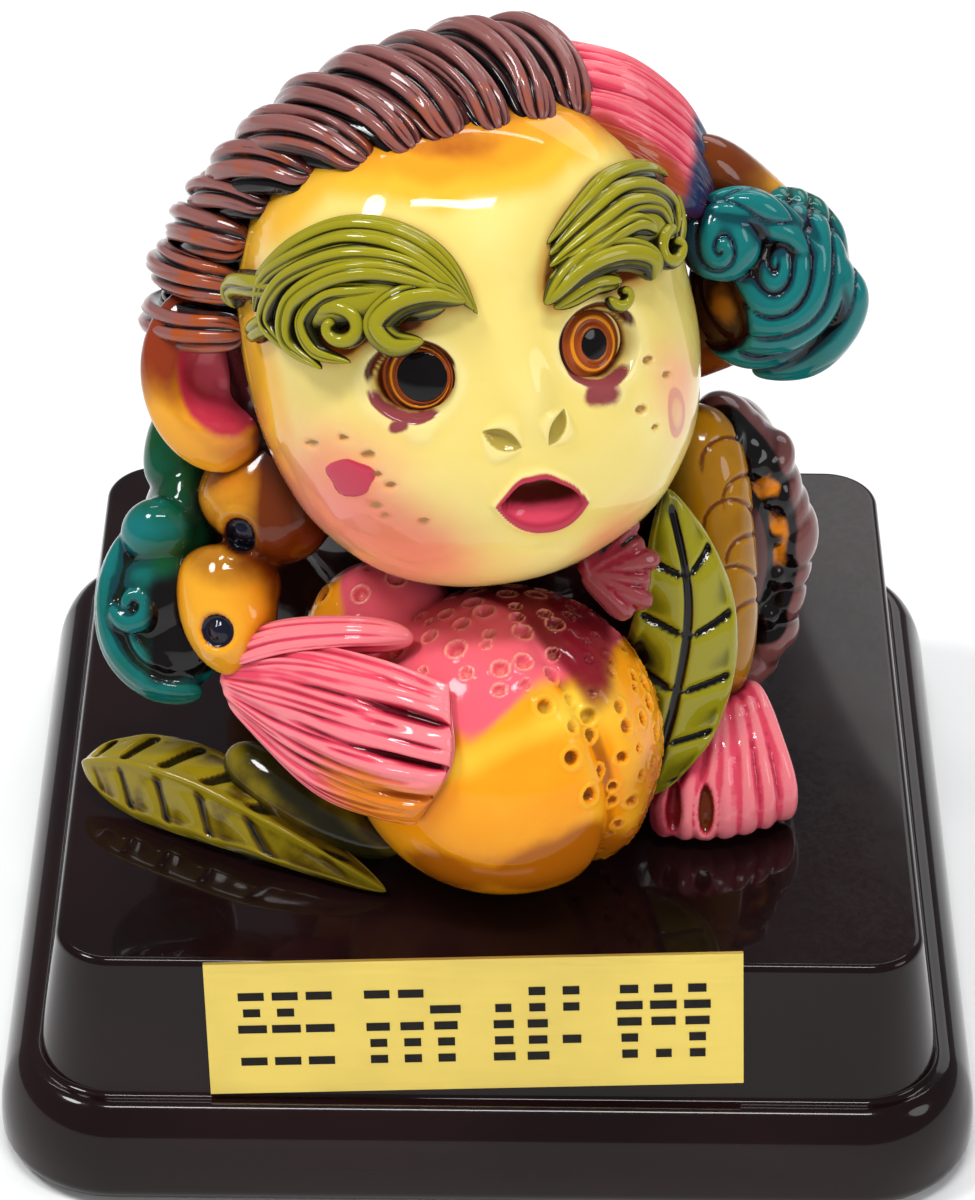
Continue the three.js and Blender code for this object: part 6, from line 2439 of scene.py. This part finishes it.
def make_stage(context):
    """Camera, pale floor and soft lights."""
    scene, stage = context.scene, context.scene.figurine_stage
    e, a, r = stage.elevation, stage.azimuth, stage.roll
    back = Vector((math.sin(a) * math.cos(e), -math.cos(a) * math.cos(e), math.sin(e)))
    level = Vector((math.cos(a), math.sin(a), 0))
    rise = back.cross(level)
    right = level * math.cos(r) + rise * math.sin(r)
    up = rise * math.cos(r) - level * math.sin(r)
    target = Vector((-0.542, 20.493, 31.0)) * MM
    data = bpy.data.cameras.new("Camera")
    data.lens = stage.lens
    data.sensor_width = 36.0
    data.clip_start = 0.01
    camera = bpy.data.objects.new("Camera", data)
    turn = Matrix((right, up, back)).transposed().to_4x4()
    camera.matrix_world = Matrix.Translation(target + back * stage.distance) @ turn
    scene.collection.objects.link(camera)
    scene.camera = camera

    floor_mesh = bpy.data.meshes.new("Floor")
    reach = 3.0
    floor_mesh.from_pydata([(-reach, -reach, 0), (reach, -reach, 0), (reach, reach, 0), (-reach, reach, 0)], [], [(0, 1, 2, 3)])
    floor = bpy.data.objects.new("Floor", floor_mesh)
    floor.location.z = -0.0003
    paper = bpy.data.materials.new("Floor paper")
    paper.use_nodes = True
    bsdf = paper.node_tree.nodes["Principled BSDF"]
    bsdf.inputs["Base Color"].default_value = rgba(stage.floor)
    bsdf.inputs["Roughness"].default_value = 0.9
    floor_mesh.materials.append(paper)
    scene.collection.objects.link(floor)

    world = bpy.data.worlds.new("Studio")
    world.use_nodes = True
    world.node_tree.nodes["Background"].inputs["Color"].default_value = (0.9, 0.93, 1.0, 1)
    world.node_tree.nodes["Background"].inputs["Strength"].default_value = 0.3
    scene.world = world
    scene.view_settings.view_transform = "Standard"
    middle = (0, 0, 0.07)
    area_light("Key", (-0.52, -0.12, 0.9), middle, 0.26, 0.2, 4.2)
    area_light("Strip", (0.0, -0.24, 1.04), middle, 0.42, 0.08, 4.2)
    area_light("Back strip", (0.0, 0.55, 0.95), middle, 0.9, 0.05, 1.8)
    area_light("Far glow", (0.48, 0.95, 0.72), middle, 0.8, 0.5, 2.2)
    area_light("Front", (0.25, -0.95, 0.45), middle, 0.9, 0.6, 2.0, mirrored=False)
    area_light("Fill", (0.75, -0.3, 0.5), middle, 0.3, 0.4, 1.3)


# Operators, panel and registration


class FIGURINE_OT_stage(bpy.types.Operator):
    """Make the camera, the floor and the lights"""

    bl_idname = "figurine.stage"
    bl_label = "Stage"

    def execute(self, context):
        make_stage(context)
        return {"FINISHED"}


class FIGURINE_OT_stand(bpy.types.Operator):
    """Make the lacquered stand"""

    bl_idname = "figurine.stand"
    bl_label = "Stand"

    def execute(self, context):
        make_stand(context)
        return {"FINISHED"}


class FIGURINE_OT_nameplate(bpy.types.Operator):
    """Make the gilt nameplate and its strokes"""

    bl_idname = "figurine.nameplate"
    bl_label = "Nameplate"

    def execute(self, context):
        make_nameplate(context)
        return {"FINISHED"}


class FIGURINE_OT_face(bpy.types.Operator):
    """Make the face and the eyes"""

    bl_idname = "figurine.face"
    bl_label = "Face and eyes"

    def execute(self, context):
        make_face(context)
        make_eyes(context)
        return {"FINISHED"}


class FIGURINE_OT_brows(bpy.types.Operator):
    """Make the eyebrows"""

    bl_idname = "figurine.brows"
    bl_label = "Eyebrows"

    def execute(self, context):
        make_brows(context)
        return {"FINISHED"}


class FIGURINE_OT_hair(bpy.types.Operator):
    """Make the hair and the ear"""

    bl_idname = "figurine.hair"
    bl_label = "Hair and ear"

    def execute(self, context):
        make_hair(context)
        make_ear(context)
        return {"FINISHED"}


class FIGURINE_OT_peach(bpy.types.Operator):
    """Make the peach"""

    bl_idname = "figurine.peach"
    bl_label = "Peach"

    def execute(self, context):
        make_peach(context)
        return {"FINISHED"}


class FIGURINE_OT_arms(bpy.types.Operator):
    """Make the arms, the hands, the sleeve and the drape"""

    bl_idname = "figurine.arms"
    bl_label = "Arms and sleeves"

    def execute(self, context):
        make_arms(context)
        make_hands(context)
        make_clouds(context)
        return {"FINISHED"}


class FIGURINE_OT_leaves(bpy.types.Operator):
    """Make the leaves"""

    bl_idname = "figurine.leaves"
    bl_label = "Leaves"

    def execute(self, context):
        make_leaves(context)
        return {"FINISHED"}


class FIGURINE_OT_body(bpy.types.Operator):
    """Make the leg, the fur, the ruff and the trunk"""

    bl_idname = "figurine.body"
    bl_label = "Leg and trunk"

    def execute(self, context):
        make_leg(context)
        make_body(context)
        return {"FINISHED"}


class FIGURINE_PT_panel(bpy.types.Panel):
    """The figurine's sizes, colours and steps"""

    bl_label = "Figurine"
    bl_idname = "FIGURINE_PT_panel"
    bl_space_type = "VIEW_3D"
    bl_region_type = "UI"
    bl_category = "Figurine"

    def draw(self, context):
        layout = self.layout
        for step in STEPS:
            layout.operator(step.bl_idname)
        for name in SETTINGS:
            settings = getattr(context.scene, name)
            box = layout.box()
            for key in settings.__annotations__:
                box.prop(settings, key)


STEPS = (
    FIGURINE_OT_stage,
    FIGURINE_OT_stand,
    FIGURINE_OT_nameplate,
    FIGURINE_OT_face,
    FIGURINE_OT_brows,
    FIGURINE_OT_hair,
    FIGURINE_OT_peach,
    FIGURINE_OT_arms,
    FIGURINE_OT_leaves,
    FIGURINE_OT_body,
)
SETTINGS = {
    "figurine_sizes": FigurineSizes,
    "figurine_glazes": FigurineGlazes,
    "figurine_stand": StandSizes,
    "figurine_stage": StageSizes,
}


def register():
    """Adds the settings, the steps and the panel."""
    for name, group in SETTINGS.items():
        bpy.utils.register_class(group)
        setattr(bpy.types.Scene, name, PointerProperty(type=group))
    for step in STEPS:
        bpy.utils.register_class(step)
    bpy.utils.register_class(FIGURINE_PT_panel)


def unregister():
    """Takes them away again."""
    bpy.utils.unregister_class(FIGURINE_PT_panel)
    for step in reversed(STEPS):
        bpy.utils.unregister_class(step)
    for name, group in SETTINGS.items():
        delattr(bpy.types.Scene, name)
        bpy.utils.unregister_class(group)


def main():
    """Runs every step."""
    register()
    bpy.ops.figurine.stage()
    bpy.ops.figurine.stand()
    bpy.ops.figurine.nameplate()
    bpy.ops.figurine.face()
    bpy.ops.figurine.brows()
    bpy.ops.figurine.hair()
    bpy.ops.figurine.peach()
    bpy.ops.figurine.arms()
    bpy.ops.figurine.leaves()
    bpy.ops.figurine.body()


if __name__ == "__main__":
    main()
